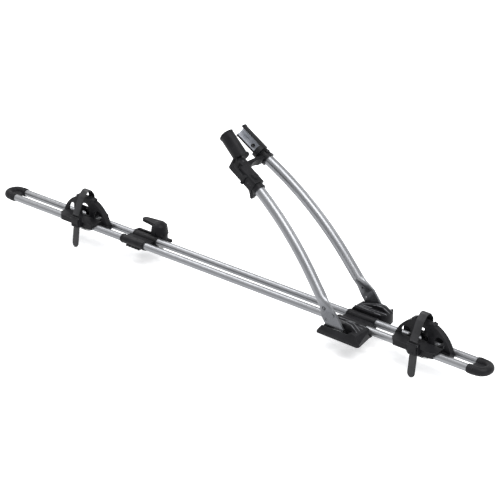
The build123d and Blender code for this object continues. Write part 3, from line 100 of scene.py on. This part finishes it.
# Ridges over the front hoods, which fan out towards the nose.
HOOD_RIDGES = 4
HOOD_RIDGE_POINTS = 64
HOOD_RIDGE_RADIUS = 0.0009
HOOD_RIDGE_REAR_X = -0.036
HOOD_RIDGE_LENGTH = 0.086
HOOD_RIDGE_FIRST_Y = 0.0355
HOOD_RIDGE_PITCH = 0.0062
HOOD_RIDGE_FAN = 0.0045
HOOD_RIDGE_FAN_START = 0.002
HOOD_RIDGE_CURVE = 1.6
DRAPE_FROM_Z = 0.3
DRAPE_STEP = 0.0016
DRAPE_FEWEST = 8

# Wheel straps, with angles in degrees.
STRAP_HALF = 0.0102
STRAP_THICK = 0.0022
STRAP_RIM = 0.0018
STRAP_EDGE = 0.0004
STRAP_CENTRE = 0.004
STRAP_RIM_FOOT_SHARE = 1.5
STRAP_INNER_EDGE_SHARE = 0.75
STRAP_OUTER_EDGE_SHARE = 0.95
STRAP_RIM_SHARE = 1.25
STRAP_BAND_SHARE = 0.7
STRAP_SHARP_ANGLE = 40
STRAP_STEP = 0.0005
STRAP_BEND = 0.011
STRAP_PIN_Y = 0.0135
STRAP_PIN_Z = 0.034
STRAP_PIN_TURN = 0.0043
STRAP_LOOP_POINTS = 24
STRAP_LOOP_START = 150
STRAP_LOOP_SWEEP = 210
STRAP_END = ((0.0150, 0.0470), (0.0118, 0.0415))
STRAP_ROUTE = ((0.0170, 0.080), (0.002, 0.1012), (-0.018, 0.083), (-0.039, 0.044),
               (-0.039, 0.008), (-0.0462, -0.0428))
TOOTH_PITCH = 0.003
TOOTH_RISE = 0.0004
TOOTH_HEIGHT = 0.00085
TOOTH_FROM_EDGE = 0.0025
TEETH_START_SHARE = 0.40
TAIL_PLAIN_POINTS = 30
TAIL_LEAST_SHARE = 0.02


def make_camera():
    """The photograph's view: from the front right, about 25 degrees up."""
    camera = bpy.data.objects.new("photo_camera", bpy.data.cameras.new("photo_camera"))
    bpy.context.scene.collection.objects.link(camera)
    camera.location = CAMERA_PLACE
    sight = Vector(CAMERA_AIM) - camera.location
    camera.rotation_euler = sight.to_track_quat("-Z", "Y").to_euler()
    camera.data.lens = CAMERA_LENS
    camera.data.sensor_width = CAMERA_SENSOR
    camera.data.clip_end = CAMERA_REACH
    bpy.context.scene.camera = camera


def seen_directly(tree):
    """1 where a ray comes from the camera, a mirror-like surface or a clear one."""
    path = tree.nodes.new("ShaderNodeLightPath")
    first = tree.nodes.new("ShaderNodeMath")
    first.operation = "MAXIMUM"
    tree.links.new(path.outputs["Is Camera Ray"], first.inputs[0])
    tree.links.new(path.outputs["Is Glossy Ray"], first.inputs[1])
    second = tree.nodes.new("ShaderNodeMath")
    second.operation = "MAXIMUM"
    tree.links.new(first.outputs[0], second.inputs[0])
    tree.links.new(path.outputs["Is Transmission Ray"], second.inputs[1])
    return second.outputs[0]


def make_world():
    """A pale, even surrounding that shows white behind the object."""
    world = bpy.data.worlds.new("studio")
    bpy.context.scene.world = world
    world.use_nodes = True
    tree = world.node_tree
    tree.nodes.clear()
    out = tree.nodes.new("ShaderNodeOutputWorld")
    soft = tree.nodes.new("ShaderNodeBackground")
    soft.inputs["Color"].default_value = SOFT_LIGHT
    soft.inputs["Strength"].default_value = SOFT_STRENGTH
    white = tree.nodes.new("ShaderNodeBackground")
    white.inputs["Color"].default_value = WHITE
    white.inputs["Strength"].default_value = 1.0
    mix = tree.nodes.new("ShaderNodeMixShader")
    tree.links.new(seen_directly(tree), mix.inputs[0])
    tree.links.new(soft.outputs[0], mix.inputs[1])
    tree.links.new(white.outputs[0], mix.inputs[2])
    tree.links.new(mix.outputs[0], out.inputs["Surface"])


def make_floor():
    """A pale floor just under the strap tails; it keeps the carrier's shadow."""
    mesh = bpy.data.meshes.new("floor")
    corners = [(x * FLOOR_HALF, y * FLOOR_HALF, FLOOR_Z)
               for x, y in ((-1, -1), (1, -1), (1, 1), (-1, 1))]
    mesh.from_pydata(corners, [], [(0, 1, 2, 3)])
    floor = bpy.data.objects.new("floor", mesh)
    bpy.context.scene.collection.objects.link(floor)
    mat = bpy.data.materials.new("floor_paint")
    mat.use_nodes = True
    tree = mat.node_tree
    tree.nodes.clear()
    out = tree.nodes.new("ShaderNodeOutputMaterial")
    matt = tree.nodes.new("ShaderNodeBsdfDiffuse")
    matt.inputs["Color"].default_value = FLOOR_PAINT
    glow = tree.nodes.new("ShaderNodeEmission")
    glow.inputs["Color"].default_value = WHITE
    glow.inputs["Strength"].default_value = FLOOR_GLOW
    both = tree.nodes.new("ShaderNodeMixShader")
    share = tree.nodes.new("ShaderNodeMath")
    share.operation = "MULTIPLY"
    share.inputs[1].default_value = FLOOR_GLOW_SHARE
    tree.links.new(seen_directly(tree), share.inputs[0])
    tree.links.new(share.outputs[0], both.inputs[0])
    tree.links.new(matt.outputs[0], both.inputs[1])
    add = tree.nodes.new("ShaderNodeAddShader")
    tree.links.new(matt.outputs[0], add.inputs[0])
    tree.links.new(glow.outputs[0], add.inputs[1])
    tree.links.new(add.outputs[0], both.inputs[2])
    tree.links.new(both.outputs[0], out.inputs["Surface"])
    mesh.materials.append(mat)


def area_light(name, place, aim, size, power):
    """A soft rectangular lamp that points at a spot."""
    data = bpy.data.lights.new(name, "AREA")
    data.shape = "RECTANGLE"
    data.size, data.size_y = size
    data.energy = power
    lamp = bpy.data.objects.new(name, data)
    bpy.context.scene.collection.objects.link(lamp)
    lamp.location = place
    lamp.rotation_euler = (Vector(aim) - Vector(place)).to_track_quat("-Z", "Y").to_euler()


def make_lights():
    """Key over the rear for the rails, a long fill over the front for the arms, two weak ones."""
    for lamp in LAMPS:
        area_light(*lamp)


class Look:
    """A small helper that wires one Principled material with procedural detail."""

    def __init__(self, name, colour, rough, metal=0.0, spec=0.5):
        self.mat = bpy.data.materials.new(name)
        self.mat.use_nodes = True
        self.tree = self.mat.node_tree
        self.tree.nodes.clear()
        out = self.new("ShaderNodeOutputMaterial")
        self.shader = self.new("ShaderNodeBsdfPrincipled")
        self.link(self.shader.outputs[0], out.inputs["Surface"])
        self.shader.inputs["Base Color"].default_value = (*colour, 1.0)
        self.shader.inputs["Roughness"].default_value = rough
        self.shader.inputs["Metallic"].default_value = metal
        self.shader.inputs["Specular IOR Level"].default_value = spec
        self.place = self.new("ShaderNodeTexCoord").outputs["Object"]
        self.normal = None

    def new(self, kind):
        """Add one shader node."""
        return self.tree.nodes.new(kind)

    def link(self, a, b):
        """Join an output to an input."""
        self.tree.links.new(a, b)

    def scaled(self, x, y, z):
        """Object coordinates stretched along the axes."""
        mapping = self.new("ShaderNodeMapping")
        mapping.inputs["Scale"].default_value = (x, y, z)
        self.link(self.place, mapping.inputs["Vector"])
        return mapping.outputs[0]

    def noise(self, scale, detail=3.0, stretch=(1.0, 1.0, 1.0), rough=0.5):
        """Noise in metres: scale is cycles per metre."""
        node = self.new("ShaderNodeTexNoise")
        node.inputs["Scale"].default_value = scale
        node.inputs["Detail"].default_value = detail
        node.inputs["Roughness"].default_value = rough
        self.link(self.scaled(*stretch), node.inputs["Vector"])
        return node.outputs["Fac"]

    def ramp(self, value, low, high, low_value=0.0, high_value=1.0):
        """Map part of a value's range onto two numbers."""
        node = self.new("ShaderNodeMapRange")
        node.inputs["From Min"].default_value = low
        node.inputs["From Max"].default_value = high
        node.inputs["To Min"].default_value = low_value
        node.inputs["To Max"].default_value = high_value
        self.link(value, node.inputs["Value"])
        return node.outputs["Result"]

    def blend_colour(self, factor, first, second):
        """Mix a written or computed first colour with a written second one by a value."""
        node = self.new("ShaderNodeMix")
        node.data_type = "RGBA"
        if isinstance(first, tuple):
            node.inputs["A"].default_value = (*first, 1.0)
        else:
            self.link(first, node.inputs["A"])
        node.inputs["B"].default_value = (*second, 1.0)
        self.link(factor, node.inputs["Factor"])
        return node.outputs["Result"]

    def times(self, first, second):
        """Product of two values."""
        node = self.new("ShaderNodeMath")
        node.operation = "MULTIPLY"
        self.link(first, node.inputs[0])
        self.link(second, node.inputs[1])
        return node.outputs[0]

    def paint(self, colour):
        """Use a computed colour as the base colour."""
        self.link(colour, self.shader.inputs["Base Color"])

    def roughen(self, noise, low, high):
        """Let a noise vary the roughness between two values."""
        spread = self.ramp(noise, NOISE_LOW, NOISE_HIGH, low, high)
        self.link(spread, self.shader.inputs["Roughness"])

    def bump(self, height, distance, strength=1.0):
        """Stack one more layer of relief on the normal."""
        node = self.new("ShaderNodeBump")
        node.inputs["Distance"].default_value = distance
        node.inputs["Strength"].default_value = strength
        self.link(height, node.inputs["Height"])
        if self.normal is not None:
            self.link(self.normal, node.inputs["Normal"])
        self.normal = node.outputs[0]
        self.link(self.normal, self.shader.inputs["Normal"])

    def round_edges(self, radius):
        """Soft moulded edges: the normals of neighbouring faces run into each other."""
        node = self.new("ShaderNodeBevel")
        node.samples = BEVEL_SAMPLES
        node.inputs["Radius"].default_value = radius
        self.normal = node.outputs[0]
        self.link(self.normal, self.shader.inputs["Normal"])

    def edge_value(self, radius):
        """1 along sharp edges, 0 on open faces, from how far the rounded normal leans."""
        rounded = self.new("ShaderNodeBevel")
        rounded.samples = BEVEL_SAMPLES
        rounded.inputs["Radius"].default_value = radius
        plain = self.new("ShaderNodeNewGeometry")
        dot = self.new("ShaderNodeVectorMath")
        dot.operation = "DOT_PRODUCT"
        self.link(rounded.outputs[0], dot.inputs[0])
        self.link(plain.outputs["Normal"], dot.inputs[1])
        return self.ramp(dot.outputs["Value"], FLAT_LEAN, EDGE_LEAN)


def anodised(name, shade_blades=False):
    """Satin anodised tube with faint drawn lines; on request, painted shade darkens it low down,
    where the arms are flattened into blades.
    """
    look = Look(name, (0.2, 0.205, 0.215), 0.3, metal=0.85)
    look.shader.inputs["Anisotropic"].default_value = 0.2
    streak = look.noise(900.0, 2.0, (0.02, 1.0, 1.0))
    colour = look.blend_colour(look.ramp(look.noise(9.0, 2.0, (0.25, 1.0, 1.0)), 0.4, 0.7),
                               (0.19, 0.194, 0.204), (0.225, 0.229, 0.238))
    if shade_blades:
        # Painted shade: low down on the flattened blades the colour turns dark grey, broken up by
        # a fine grain.
        height = look.new("ShaderNodeSeparateXYZ")
        look.link(look.place, height.inputs[0])
        blade_shade_mask = look.ramp(height.outputs["Z"], BLADE_SHADE_FROM_Z, BLADE_SHADE_TO_Z)
        grain = look.ramp(look.noise(420.0, 4.0), 0.35, 0.7, 0.75, 1.0)
        colour = look.blend_colour(look.times(blade_shade_mask, grain), colour, (0.085, 0.088, 0.095))
    look.paint(colour)
    look.roughen(look.noise(60.0, 5.0), 0.3, 0.38)
    look.round_edges(0.0006)
    look.bump(streak, 0.00003, 0.5)
    look.bump(look.noise(2400.0, 2.0), 0.00002, 0.5)
    return look.mat


def black_plastic():
    """Fine grained black moulding with slightly greyer rubbed edges and a little dust."""
    look = Look("black_plastic", (0.01, 0.01, 0.011), 0.45, spec=0.1)
    base = look.blend_colour(look.ramp(look.noise(38.0, 4.0), 0.35, 0.7), (0.006, 0.006, 0.007),
                             (0.013, 0.013, 0.0145))
    patches = look.ramp(look.noise(210.0, 5.0, rough=0.65), 0.36, 0.62)
    colour = look.blend_colour(look.times(look.edge_value(0.0011), patches), base,
                               (0.038, 0.039, 0.042))
    look.paint(colour)
    look.roughen(look.noise(75.0, 4.0), 0.36, 0.52)
    look.round_edges(0.0009)
    look.bump(look.noise(1500.0, 3.0), 0.00012, 0.45)
    look.bump(look.noise(120.0, 2.0), 0.0004, 0.12)
    return look.mat


def ridge_sheen_plastic():
    """The same moulding in a mottled light grey: a painted highlight for the light that the fine
    ridges catch.
    """
    look = Look("ridge_sheen_plastic", (0.05, 0.051, 0.055), 0.4, spec=0.2)
    # Painted highlight: a mottled light grey in place of the light on the ridge tops.
    colour = look.blend_colour(look.ramp(look.noise(130.0, 4.0), 0.35, 0.65),
                               (0.05, 0.051, 0.055), (0.17, 0.173, 0.182))
    look.paint(colour)
    look.roughen(look.noise(90.0), 0.34, 0.5)
    look.bump(look.noise(1500.0, 3.0), 0.0001, 0.4)
    return look.mat


def black_steel():
    """Blackened steel of small pins and set screws, grey where it is handled."""
    look = Look("black_steel", (0.03, 0.03, 0.032), 0.42, metal=0.7, spec=0.4)
    colour = look.blend_colour(look.ramp(look.noise(240.0, 4.0), 0.4, 0.75),
                               (0.018, 0.018, 0.02), (0.06, 0.06, 0.063))
    look.paint(colour)
    look.roughen(look.noise(300.0, 3.0), 0.34, 0.52)
    look.round_edges(0.0004)
    look.bump(look.noise(1700.0, 2.0), 0.00005, 0.5)
    return look.mat


def rubber():
    """Dull black rubber, slightly chalky."""
    look = Look("black_rubber", (0.03, 0.03, 0.03), 0.8, spec=0.3)
    colour = look.blend_colour(look.ramp(look.noise(50.0, 5.0), 0.35, 0.75),
                               (0.018, 0.018, 0.019), (0.05, 0.049, 0.048))
    look.paint(colour)
    look.roughen(look.noise(90.0), 0.7, 0.92)
    look.round_edges(0.0006)
    look.bump(look.noise(1100.0, 3.0), 0.0002, 0.5)
    return look.mat


def grey_liner():
    """Soft grey-blue elastomer of the jaws, scuffed where the frame is held."""
    look = Look("grey_liner", (0.4, 0.42, 0.45), 0.6, spec=0.35)
    colour = look.blend_colour(look.ramp(look.noise(70.0, 5.0), 0.35, 0.7),
                               (0.36, 0.375, 0.41), (0.48, 0.495, 0.53))
    look.paint(colour)
    look.roughen(look.noise(110.0), 0.5, 0.72)
    look.round_edges(0.0006)
    look.bump(look.noise(900.0, 3.0), 0.0002, 0.5)
    return look.mat


def zinc():
    """Bright zinc plate with cloudy passivation."""
    look = Look("zinc_steel", (0.5, 0.5, 0.5), 0.35, metal=1.0)
    colour = look.blend_colour(look.ramp(look.noise(160.0, 5.0), 0.35, 0.7),
                               (0.40, 0.41, 0.42), (0.60, 0.60, 0.58))
    look.paint(colour)
    look.roughen(look.noise(240.0, 3.0), 0.25, 0.45)
    look.round_edges(0.0004)
    look.bump(look.noise(1600.0, 2.0), 0.00006, 0.5)
    return look.mat


def brass():
    """Turned brass with fine rings."""
    look = Look("brass", (0.6, 0.45, 0.2), 0.3, metal=1.0)
    colour = look.blend_colour(look.ramp(look.noise(180.0, 4.0), 0.35, 0.7),
                               (0.50, 0.37, 0.16), (0.68, 0.52, 0.24))
    look.paint(colour)
    look.round_edges(0.0004)
    look.bump(look.noise(2200.0, 2.0, (0.2, 0.2, 1.0)), 0.00005, 0.6)
    return look.mat


def strap_rubber():
    """Flexible moulded strap: satin dark face with a fine skin and pale flex marks."""
    look = Look("strap_webbing", (0.012, 0.012, 0.013), 0.42, spec=0.3)
    colour = look.blend_colour(look.ramp(look.noise(55.0, 5.0, (1.0, 0.6, 0.6)), 0.4, 0.72),
                               (0.007, 0.007, 0.008), (0.018, 0.018, 0.02))
    look.paint(colour)
    look.roughen(look.noise(130.0, 3.0), 0.36, 0.52)
    look.bump(look.noise(1300.0, 3.0), 0.0001, 0.4)
    return look.mat


LOOKS = {
    "anodised_tube": anodised("anodised_tube"),
    "black_plastic": black_plastic(),
    "black_rubber": rubber(),
    "grey_liner": grey_liner(),
    "zinc_steel": zinc(),
    "brass": brass(),
    "strap_webbing": strap_rubber(),
    "black_steel": black_steel(),
}
RIDGE_SHEEN = ridge_sheen_plastic()
# The tube finish with painted shade on the flattened blades.
BLADE_SHADE_TUBE = anodised("anodised_blade_shade", True)
# Nodes whose finish in the photograph isn't that of their material slot.
OWN_LOOKS = {
    # The arm tubes, rivets and washers take the tube finish with painted shade on the blades.
    "arm_tube_near": BLADE_SHADE_TUBE,
    "arm_tube_far": BLADE_SHADE_TUBE,
    "blade_rivets": BLADE_SHADE_TUBE,
    "pivot_washers": BLADE_SHADE_TUBE,
    "jaw_liner_screw": LOOKS["black_steel"],
}


def dress_frame():
    """Each carried-over CAD node takes the finish of its slot, or its own one."""
    for part in frame["record"]["subparts"]:
        name = part["node"]
        finish = OWN_LOOKS.get(name, LOOKS[part["material_slot"]])
        for slot in nodes[name].material_slots:
            slot.material = finish


def new_piece(name, bm, body, slot):
    """Turn a bmesh into a piece that rides on a CAD body."""
    bmesh.ops.recalc_face_normals(bm, faces=bm.faces)
    mesh = bpy.data.meshes.new(name)
    bm.to_mesh(mesh)
    bm.free()
    for face in mesh.polygons:
        face.use_smooth = True
    mesh.materials.append(LOOKS[slot])
    piece = bpy.data.objects.new(name, mesh)
    bpy.context.scene.collection.objects.link(piece)
    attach(piece, body)
    return piece


def ridge(name, line, radius, body, slot, closed=False):
    """A fine moulded ridge: a round bead along a line, sunk halfway into its carrier."""
    bm = bmesh.new()
    count = len(line)
    rings = []
    for i, point in enumerate(line):
        before = line[i - 1] if closed or i > 0 else point
        after = line[(i + 1) % count] if closed or i < count - 1 else point
        ahead = (after - before).normalized()
        across = ahead.cross(Vector((0.0, 0.0, 1.0)))
        if across.length < RIDGE_STEEP_SHARE:
            across = ahead.cross(Vector((1.0, 0.0, 0.0)))
        across.normalize()
        up = across.cross(ahead)
        size = radius
        if not closed:
            from_end = min(i, count - 1 - i)
            size = radius * min(1.0, RIDGE_TIP_SHARE + from_end * RIDGE_TIP_GROWTH_SHARE)
        rings.append([bm.verts.new(point + (across * math.cos(turn) + up * math.sin(turn)) * size)
                      for turn in (math.tau * k / RIDGE_SIDES for k in range(RIDGE_SIDES))])
    pairs = list(zip(rings, rings[1:]))
    if closed:
        pairs.append((rings[-1], rings[0]))
    for a, b in pairs:
        for k in range(RIDGE_SIDES):
            n = (k + 1) % RIDGE_SIDES
            bm.faces.new((a[k], a[n], b[n], b[k]))
    if not closed:
        bm.faces.new(list(reversed(rings[0])))
        bm.faces.new(rings[-1])
    return new_piece(name, bm, body, slot)


def sleeve_rings():
    """Beads round the mouths of the sleeves on both feet, where they slide on the rails."""
    spots = []
    for side, mark in ((-1, "near"), (1, "far")):
        for k, x in enumerate((-BEAD_FROM_MIDDLE, BEAD_FROM_MIDDLE)):
            spots.append((f"front_sleeve_bead_{mark}_{k}", x, side, "rack"))
            shift = REAR_FAR_SHIFT if side > 0 else 0.0
            rear_x = REAR_FOOT_X + x * BEAD_REAR_SHARE + shift
            spots.append((f"rear_sleeve_bead_{mark}_{k}", rear_x, side, "rear_foot"))
    for name, x, side, body in spots:
        line = []
        for i in range(BEAD_POINTS):
            turn = math.tau * i / BEAD_POINTS
            line.append(Vector((x, side * RAIL_SIDE + SLEEVE_RADIUS * math.cos(turn),
                                RAIL_AXIS_Z + SLEEVE_RADIUS * math.sin(turn))))
        ridge(name, line, BEAD_RADIUS, body, "black_plastic", closed=True)


def cad_surface(name):
    """A CAD node's mesh in the shared frame, to find places on it."""
    thing = nodes[name]
    corners = [thing.matrix_world @ v.co for v in thing.data.vertices]
    return BVHTree.FromPolygons(corners, [tuple(f.vertices) for f in thing.data.polygons])


def draped(surface, spots):
    """Topmost places of a surface over the spots, as unbroken stretches of points."""
    down = Vector((0.0, 0.0, -1.0))
    stretches = [[]]
    for x, y in spots:
        top = surface.ray_cast(Vector((x, y, DRAPE_FROM_Z)), down)[0]
        if top is None:
            stretches.append([])
            continue
        if stretches[-1] and abs(top.z - stretches[-1][-1].z) > DRAPE_STEP:
            stretches.append([])
        stretches[-1].append(top)
    return [stretch for stretch in stretches if len(stretch) > DRAPE_FEWEST]


def hood_ridge_spots(side, k):
    """Places in X and Y that one ridge of a hood runs over."""
    spots = []
    for i in range(HOOD_RIDGE_POINTS):
        share = i / (HOOD_RIDGE_POINTS - 1)
        fan = (HOOD_RIDGE_FAN * k - HOOD_RIDGE_FAN_START) * share ** HOOD_RIDGE_CURVE
        y = HOOD_RIDGE_FIRST_Y + HOOD_RIDGE_PITCH * k + fan
        spots.append((HOOD_RIDGE_REAR_X + HOOD_RIDGE_LENGTH * share, side * y))
    return spots


def hood_ridges():
    """Fine ridges that fan out over both hoods towards their noses."""
    for side, mark in ((-1, "near"), (1, "far")):
        surface = cad_surface(f"front_hood_{mark}")
        for k in range(HOOD_RIDGES):
            for n, line in enumerate(draped(surface, hood_ridge_spots(side, k))):
                piece = ridge(f"hood_ridge_{mark}_{k}_{n}", line, HOOD_RIDGE_RADIUS, "rack",
                              "black_plastic")
                # The ridges take the painted highlight finish.
                piece.data.materials[0] = RIDGE_SHEEN


def filleted(points, radius, step):
    """Points along a polyline in a plane whose corners are rounded."""
    line = [Vector(points[0])]
    for before, corner, after in zip(points, points[1:], points[2:]):
        corner = Vector(corner)
        back = (Vector(before) - corner).normalized()
        ahead = (Vector(after) - corner).normalized()
        half = back.angle(ahead) / 2
        reach = radius / math.tan(half)
        centre = corner + (back + ahead).normalized() * (radius / math.sin(half))
        first = corner + back * reach - centre
        last = corner + ahead * reach - centre
        turn = first.angle(last)
        count = max(2, int(turn * radius / step))
        for i in range(count + 1):
            share = i / count
            swung = first * math.sin((1 - share) * turn) + last * math.sin(share * turn)
            line.append(centre + swung / math.sin(turn))
    line.append(Vector(points[-1]))
    return resampled(line, step)


def resampled(line, step):
    """The same line with points an even step apart."""
    lengths = [0.0]
    for a, b in zip(line, line[1:]):
        lengths.append(lengths[-1] + (b - a).length)
    count = int(lengths[-1] / step)
    result = []
    k = 0
    for i in range(count + 1):
        target = lengths[-1] * i / count
        while lengths[k + 1] < target and k < len(lengths) - 2:
            k += 1
        share = (target - lengths[k]) / (lengths[k + 1] - lengths[k])
        result.append(line[k].lerp(line[k + 1], min(1.0, share)))
    return result


def strap_line():
    """The strap's middle line in Y and Z: round its pin, over the tyre, down to its tail."""
    loop = []
    for i in range(STRAP_LOOP_POINTS + 1):
        angle = math.radians(STRAP_LOOP_START + STRAP_LOOP_SWEEP * i / STRAP_LOOP_POINTS)
        loop.append(Vector((STRAP_PIN_Y + STRAP_PIN_TURN * math.cos(angle),
                            STRAP_PIN_Z + STRAP_PIN_TURN * math.sin(angle))))
    leave = (STRAP_PIN_Y + STRAP_PIN_TURN, STRAP_PIN_Z)
    run = filleted([leave, *STRAP_ROUTE], STRAP_BEND, STRAP_STEP)
    start = [Vector(point) for point in STRAP_END]
    return resampled(start + loop + run[1:], STRAP_STEP)


def strap_profile():
    """Across the strap, inner face first: a flat band with thicker rounded rims."""
    half = STRAP_HALF
    thick = STRAP_THICK / 2
    edge = half - STRAP_EDGE
    rim = half - STRAP_RIM
    rim_foot = half - STRAP_RIM * STRAP_RIM_FOOT_SHARE
    inner_edge = -thick * STRAP_INNER_EDGE_SHARE
    band = thick * STRAP_BAND_SHARE
    inner = [(-edge, inner_edge), (-rim, -thick), (0.0, -thick), (rim, -thick), (edge, inner_edge)]
    outer = [(half, 0.0), (edge, thick * STRAP_OUTER_EDGE_SHARE), (rim, thick * STRAP_RIM_SHARE),
             (rim_foot, band), (STRAP_CENTRE, band)]
    mirrored = [(-across, height) for across, height in reversed(outer)]
    return inner + outer + [(0.0, band)] + mirrored


def tooth_height(along):
    """Height of the saw-toothed outer face at a distance along the strap."""
    phase = along % TOOTH_PITCH
    if phase > TOOTH_RISE:
        return TOOTH_HEIGHT * (1.0 - phase / TOOTH_PITCH)
    return TOOTH_HEIGHT * phase / TOOTH_RISE


def wheel_strap(name, x):
    """Ratchet strap with raised rims, cross teeth on its outer face and a round tail."""
    line = strap_line()
    profile = strap_profile()
    bm = bmesh.new()
    rings = []
    total = len(line)
    teeth_from = int(total * TEETH_START_SHARE)
    for i, point in enumerate(line):
        ahead = line[min(i + 1, total - 1)] - line[max(i - 1, 0)]
        ahead.normalize()
        out = Vector((-ahead.y, ahead.x))
        left = (total - 1 - i) * STRAP_STEP
        narrow = 1.0
        if left < STRAP_HALF:
            gone = (STRAP_HALF - left) / STRAP_HALF
            narrow = math.sqrt(max(TAIL_LEAST_SHARE, 1 - gone ** 2))
        ring = []
        tooth = 0.0
        if teeth_from < i < total - TAIL_PLAIN_POINTS:
            tooth = tooth_height(i * STRAP_STEP)
        for across, height in profile:
            lift = tooth if height > 0 and abs(across) < STRAP_HALF - TOOTH_FROM_EDGE else 0.0
            place = point + out * (height + lift)
            ring.append(bm.verts.new((x + across * narrow, place.x, place.y)))
        rings.append(ring)
    for a, b in zip(rings, rings[1:]):
        for j in range(len(profile)):
            k = (j + 1) % len(profile)
            bm.faces.new((a[j], a[k], b[k], b[j]))
    bm.faces.new(list(reversed(rings[0])))
    bm.faces.new(rings[-1])
    piece = new_piece(name, bm, name.split("_")[0] + "_holder", "strap_webbing")
    piece.data.set_sharp_from_angle(angle=math.radians(STRAP_SHARP_ANGLE))
    return piece


def make_straps():
    """Both straps stand for their plain CAD solids."""
    for end, x in HOLDER_X.items():
        piece = wheel_strap(f"{end}_strap_moulded", x)
        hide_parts(f"wheel_strap_{end}")


make_camera()
make_world()
make_floor()
make_lights()
dress_frame()
make_straps()
sleeve_rings()
hood_ridges()

bpy.context.scene.view_settings.view_transform = "Standard"
